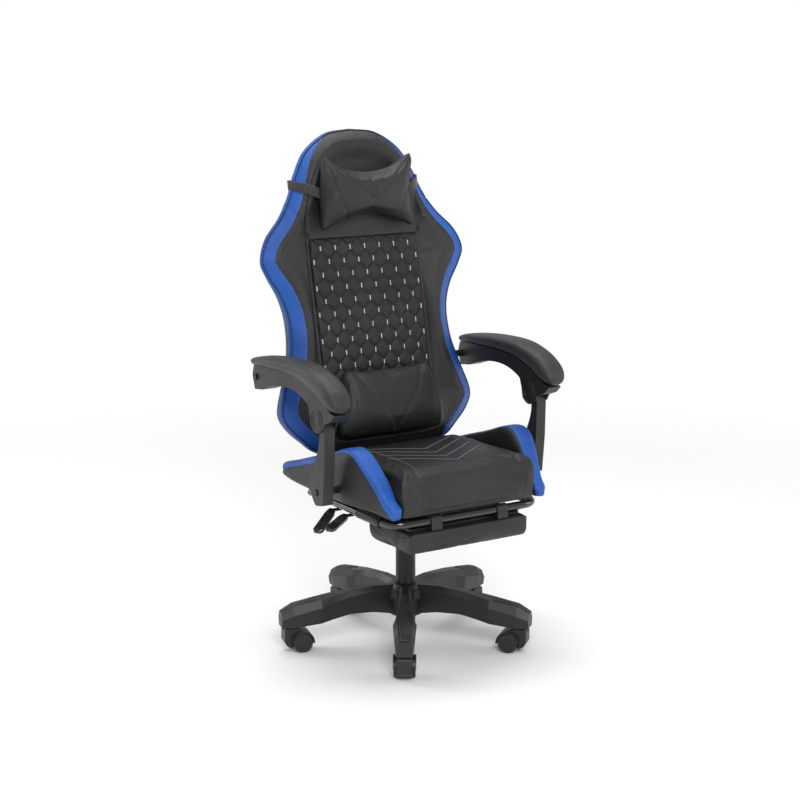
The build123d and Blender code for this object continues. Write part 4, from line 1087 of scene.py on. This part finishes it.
def makeWing(name, sign):
    v = wingValues
    rows, columns = 130, 84
    crest, under = curveThrough(v["crest"], rows), curveThrough(v["under"], rows)
    far = v["outer"] - (v["outer"] - v["tip"]) * smooth(-crest[:, 0], 150, 292) ** 1.15
    near = v["inner"] - 4 * smooth(-crest[:, 0], 255, 290)
    turn = np.linspace(-np.pi / 2, 1.5 * np.pi, columns, endpoint=False)
    c, s = superCorner(turn, v["power"])
    # the flank bulges a little and leans in at the top, where it turns over into the band
    lean = 1 - 0.10 * smooth(s, 0.2, 1.0) * (c > 0)
    closing = 1 - smooth(np.linspace(0, 1, rows), 0.965, 1.0) * 0.5
    back = 1 - 0.06 * np.exp(-(np.arange(rows) / 3.0))
    x = (near + far)[:, None] / 2 + (far - near)[:, None] / 2 * c * lean * closing[:, None] * back[:, None]
    share = (0.5 + 0.5 * s)[None] * back[:, None] + (1 - back[:, None]) / 2
    grid = np.stack([x, under[:, :1] + (crest - under)[:, :1] * share,
                     under[:, 1:] + (crest - under)[:, 1:] * share], 2)
    grid[..., 0] *= sign
    # arc length round each section from the middle of its top gives the band
    size = np.linalg.norm(np.roll(grid, -1, 1) - grid, axis=2)
    run = np.concatenate([np.zeros((rows, 1)), np.cumsum(size, 1)[:, :-1]], 1)
    top = int(columns * 0.5)
    fromTop = run - run[:, top:top + 1]
    shiftOut = 4 + 14 * smooth(crest[:, :1], -90, 10)
    side = v["bandHalf"] + 3 - np.abs(fromTop + shiftOut)
    normal = gridNormals(grid, True)
    normal *= np.sign((normal[:, top] * (0, 0, 1)).sum())
    along = runLength(crest)[:, None]
    groove = 1.3 * np.exp(-(side / 1.8) ** 2)
    puff = 1.6 * np.clip(side / 20, 0, 1) ** 0.5 * (side > 0)
    pucker = 0.45 * np.sin(along * 2 * np.pi / 16) * np.exp(-np.abs(side) / 7)
    grid = grid + normal * (puff + pucker - groove)[..., None]
    hole = np.hypot(grid[..., 1] + 110, grid[..., 2] - 454)
    grid[..., 0] -= sign * 2.0 * np.exp(-(hole / 14) ** 2) * (np.abs(grid[..., 0]) > 240)
    ends = [list(range(columns)), list(range(columns * (rows - 1), columns * rows))]
    wing = newPiece("seatWing" + name, grid, gridFaces(rows, columns, True).tolist() + ends, bolsterLeather,
                    "seat", attributes={"bandSide": side})
    node = "seat_bolster_" + name.lower()
    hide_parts(node)
    # stitches, and a dark cord in the seam's groove as painted shade, follow where the band's edge crosses
    # each section
    cords, pale = [], []
    out = gridNormals(grid, True)
    out *= np.sign((out[:, top] * (0, 0, 1)).sum())
    for edge in (1, -1):
        for shift, keep in ((0.0, cords), (-3.6, pale)):
            target = edge * (v["bandHalf"] + 3 + shift) - shiftOut[:, 0]
            columnsAt = np.array([np.interp(target[k], fromTop[k], np.arange(columns))
                                  for k in range(rows)])
            path, facing = sampleGrid(grid, np.arange(rows), columnsAt), sampleGrid(out, np.arange(rows),
                                                                                    columnsAt)
            facing /= np.linalg.norm(facing, axis=1, keepdims=True)
            keep.append((path[3:-4] + facing[3:-4] * 0.2, facing[3:-4]))
    newPiece("seatWingSeamShade" + name, *joinMeshes([cordMesh(p, o, 0.8, 6) for p, o in cords]),
                     pipingAndSeamShadeLeather, "seat", closed=False)
    newPiece("seatWingStitches" + name,
                     *joinMeshes([stitchMesh(p, o, 5.2, 3.6, 0.55) for p, o in pale]), blueThread, "seat",
                     closed=False)


makeSeat()
makeWing("Left", 1)
makeWing("Right", -1)
print("seat made")


# ---- footrest pad
footValues = {"profile": [(-289, 331), (-290, 350), (-289, 364), (-280, 369.5), (-200, 370), (-105, 369.5),
                          (-96, 362), (-95, 350), (-98, 334), (-108, 322),
                          (-130, 317.5), (-200, 316), (-255, 316.5), (-279, 319)],
              "half": 170, "radius": 12, "pressure": 1.0, "cap": 5}


def makeFootPad():
    v = footValues
    profile = curveThrough(v["profile"], 110, closed=True)
    grid = loftAcross(profile, v["half"], v["radius"], 30, 6, 8)
    pad = newPiece("footPad", grid, gridFaces(grid.shape[0], grid.shape[1], True), blackLeather, "footrest")
    inflate(pad, (readPoints(pad)[:, 2] > 369.0) * 1.0, v)
    after = readPoints(pad)
    after[:, 2] = np.minimum(after[:, 2], 370.1)
    writePoints(pad, after)
    lines = [[(sign * 180, -232, 366), (sign * 180, -232, 350), (sign * 180, -232, 332)]
             for sign in (-1, 1)]
    for sign, line in zip((-1, 1), lines):
        carve(pad, layOn(pad, curveThrough(line, 30), (-sign, 0, 0))[0], 1.8, 4.0)
    smoothSkin(pad)
    for name, sign, line in (("footRight", -1, lines[0]), ("footLeft", 1, lines[1])):
        shadeCordsAndStitches(name, pad, [line], (-sign, 0, 0), "footrest", 0.8, 4.0)
    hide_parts("footrest_pad")


# ---- armrest pads: a soft arch over the frame, thick at the elbow and nosed at the front
armValues = {"under": [(184, 716.4), (90, 720.4), (20, 721.4), (-45, 717.4), (-100, 703.4), (-150, 682.4),
                       (-188, 660.4), (-206, 656.4)],
             "over": [(182, 735), (130, 744), (40, 753), (-70, 754), (-150, 737), (-196, 712), (-222, 686),
                      (-225, 670)],
             "inner": 272, "outer": 345, "power": 2.9}


def makeArmPad(name, sign):
    v = armValues
    rows, columns = 110, 60
    under, over = curveThrough(v["under"], rows), curveThrough(v["over"], rows)
    t = np.linspace(0, 1, rows)
    # the nose and the heel close along a quarter round
    close = np.sqrt(np.clip(1 - np.clip(1 - t / 0.03, 0, 1) ** 2, 0,
                            1)) * np.sqrt(np.clip(1 - np.clip((t - 0.86) / 0.14, 0, 1) ** 2.3, 0.0, 1))
    turn = np.linspace(0, 2 * np.pi, columns, endpoint=False)
    c, s = superCorner(turn, v["power"])
    half = (v["outer"] - v["inner"]) / 2 * (0.90 + 0.10 * np.sin(np.clip(t * 1.25, 0, 1) * np.pi)) * close
    x = (v["inner"] + v["outer"]) / 2 + half[:, None] * c * (1 - 0.06 * (s < 0))
    share = 0.5 + 0.5 * s[None] * np.maximum(close, 0.02)[:, None]
    share = np.where(s[None] < 0, 0.5 + 0.5 * s[None] * np.maximum(close, 0.5)[:, None], share)
    grid = np.stack([x, under[:, :1] + (over - under)[:, :1] * share,
                     under[:, 1:] + (over - under)[:, 1:] * share], 2)
    grid[..., 0] *= sign
    ends = [list(range(columns)), list(range(columns * (rows - 1), columns * rows))]
    pad = newPiece("armPad" + name, grid, gridFaces(rows, columns, True).tolist() + ends, armPadSkin,
                   "armrest_" + name.lower(), soften=1)
    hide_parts("armrest_" + name.lower() + "_pad")


# ---- a shallow ring round each armrest's pivot, on both faces of the frame
pivotValues = {"place": (-124, 631), "faces": (287.8, 326.2), "rings": [(25, 1.5), (15, 1.1)]}


def makePivotRings(name, sign):
    v = pivotValues
    turn = np.linspace(0, 2 * np.pi, 48, endpoint=False)
    cords = []
    for x in v["faces"]:
        for radius, width in v["rings"]:
            path = np.stack([np.full(48, sign * x), v["place"][0] + radius * np.cos(turn),
                             v["place"][1] + radius * np.sin(turn)], 1)
            outward = 1 if x > 300 else -1
            cords.append(cordMesh(path, np.tile((sign * outward, 0.0, 0.0), (48, 1)), width, 8, loop=True))
    newPiece("armPivotRings" + name, *joinMeshes(cords), armNylon, "armrest_" + name.lower(),
                     closed=False)


makePivotRings("Left", 1)
makePivotRings("Right", -1)
makeFootPad()
makeArmPad("Left", 1)
makeArmPad("Right", -1)
print("footrest and armrest pads made")


# ---- leg treads: a tapered plate of chevron ribs on the outer top of each leg
treadValues = {"from": 236, "to": 322, "wide": 15.5, "narrow": 10.5, "thick": 2.4,
               "top": [(226, 131), (296, 120), (327, 104)], "ribs": 8, "first": -123.1}


def makeTreads():
    v = treadValues
    parts = []
    s, t = np.meshgrid(np.linspace(-1, 1, 25), np.linspace(0, 1, 90))
    half = v["wide"] + (v["narrow"] - v["wide"]) * t
    phase = (t * v["ribs"] - np.abs(s) * 0.9) % 1
    rib = np.clip(3 * (0.5 - np.abs(phase - 0.5)) * 2 - 0.5, 0, 1)
    border = np.minimum((1 - np.abs(s)) * half / 1.2, np.minimum(t, 1 - t) * (v["to"] - v["from"]) / 1.2)
    height = v["thick"] * np.clip(border, 0, 1) * (0.45 + 0.55 * rib)
    along = v["from"] + (v["to"] - v["from"]) * t
    z = np.interp(along, *np.transpose(v["top"])) - 0.2 + height
    for leg in range(5):
        a = np.radians(v["first"] + 72 * leg)
        side = s * half
        grid = np.stack([along * np.cos(a) - side * np.sin(a), along * np.sin(a) + side * np.cos(a), z], 2)
        parts.append((grid.reshape(-1, 3), gridFaces(*s.shape).tolist()))
    treads = newPiece("legTreads", *joinMeshes(parts), treadNylon, "base", closed=False)


treadNylon = moulded("treadNylon", (0.02, 0.02, 0.021), (0.06, 0.06, 0.06), 0.5)
makeTreads()

# ---- finishes of the CAD pieces
finishes = {
    "star_base": blackNylon, "gas_lift_tube": satinSteel, "gas_lift_bush": blackNylon,
    "gas_lift_rod": bareSteel,
    "thrust_bearing": bareSteel, "gas_lift_cylinder": glossSteel, "release_button": bareSteel,
    "seat_mechanism": satinSteel,
    "mechanism_bolts": bareSteel, "seat_board": seatPly, "recline_hinge_arms": satinSteel,
    "recline_hinge_pins": bareSteel,
    "footrest_guides": satinSteel, "armrest_lower_bolts": satinSteel, "height_lever_rod": satinSteel,
    "recline_lever_rod": satinSteel,
    "height_lever_paddle": leverPlastic, "recline_lever_paddle": leverPlastic, "footrest_tube": glossSteel,
    "footrest_board": blackNylon,
    "back_frame": seatPly, "back_hinge_plates": satinSteel, "armrest_rear_bolts": satinSteel,
}
for name, obj in cad.items():
    look = finishes.get(name)
    if name.startswith("caster_"):
        look = wheelNylon if "wheel" in name else bareSteel if "pins" in name else blackNylon
    if name.startswith("armrest_") and name.endswith(("frame", "upright")):
        look = armNylon
    if look and not obj.hide_render:
        for slotNumber in range(max(1, len(obj.material_slots))):
            if obj.material_slots:
                obj.material_slots[slotNumber].material = look
            else:
                obj.data.materials.append(look)
print("CAD pieces finished")


# ---- floor and surroundings
def floorPaint():
    material, tree, skin = startMaterial("paleFloor", Roughness=0.7, Specular_IOR_Level=0.2)
    place = addNode(tree, "ShaderNodeTexCoord").outputs["Object"]
    tree.links.new(mixColours(tree, noise(tree, place, 1.5, 4), (0.93, 0.93, 0.93), (0.96, 0.96, 0.96)),
                   skin.inputs["Base Color"])
    # the paper runs out into an even white well behind and in front of the chair
    reach = addNode(tree, "ShaderNodeVectorMath", operation="LENGTH")
    tree.links.new(place, reach.inputs[0])
    far = ramp(tree, reach.outputs["Value"], 1.0, 3.2)
    glow = addNode(tree, "ShaderNodeEmission")
    blend = addNode(tree, "ShaderNodeMixShader")
    output = next(node for node in tree.nodes if node.bl_idname == "ShaderNodeOutputMaterial")
    for a, b in ((far, blend.inputs[0]), (skin.outputs[0], blend.inputs[1]),
                 (glow.outputs[0], blend.inputs[2]), (blend.outputs[0], output.inputs["Surface"])):
        tree.links.new(a, b)
    return material


def makeSurroundings():
    corners = np.array([(-1, -1, 0), (1, -1, 0), (1, 1, 0), (-1, 1, 0)]) * 20000 - (0, 0, 0.6)
    floor = newPiece("floorPlane", corners, [(0, 1, 2, 3)], floorPaint(), None, closed=False)
    world = bpy.data.worlds.new("softRoom")
    world.use_nodes = True
    room = world.node_tree.nodes["Background"]
    setInputs(room, Color=(1, 1, 1, 1))
    seen = addNode(world.node_tree, "ShaderNodeLightPath").outputs["Is Camera Ray"]
    world.node_tree.links.new(ramp(world.node_tree, seen, 0.0, 1.0, 0.48, 1.0), room.inputs["Strength"])
    bpy.context.scene.world = world


makeSurroundings()

print("scene complete")
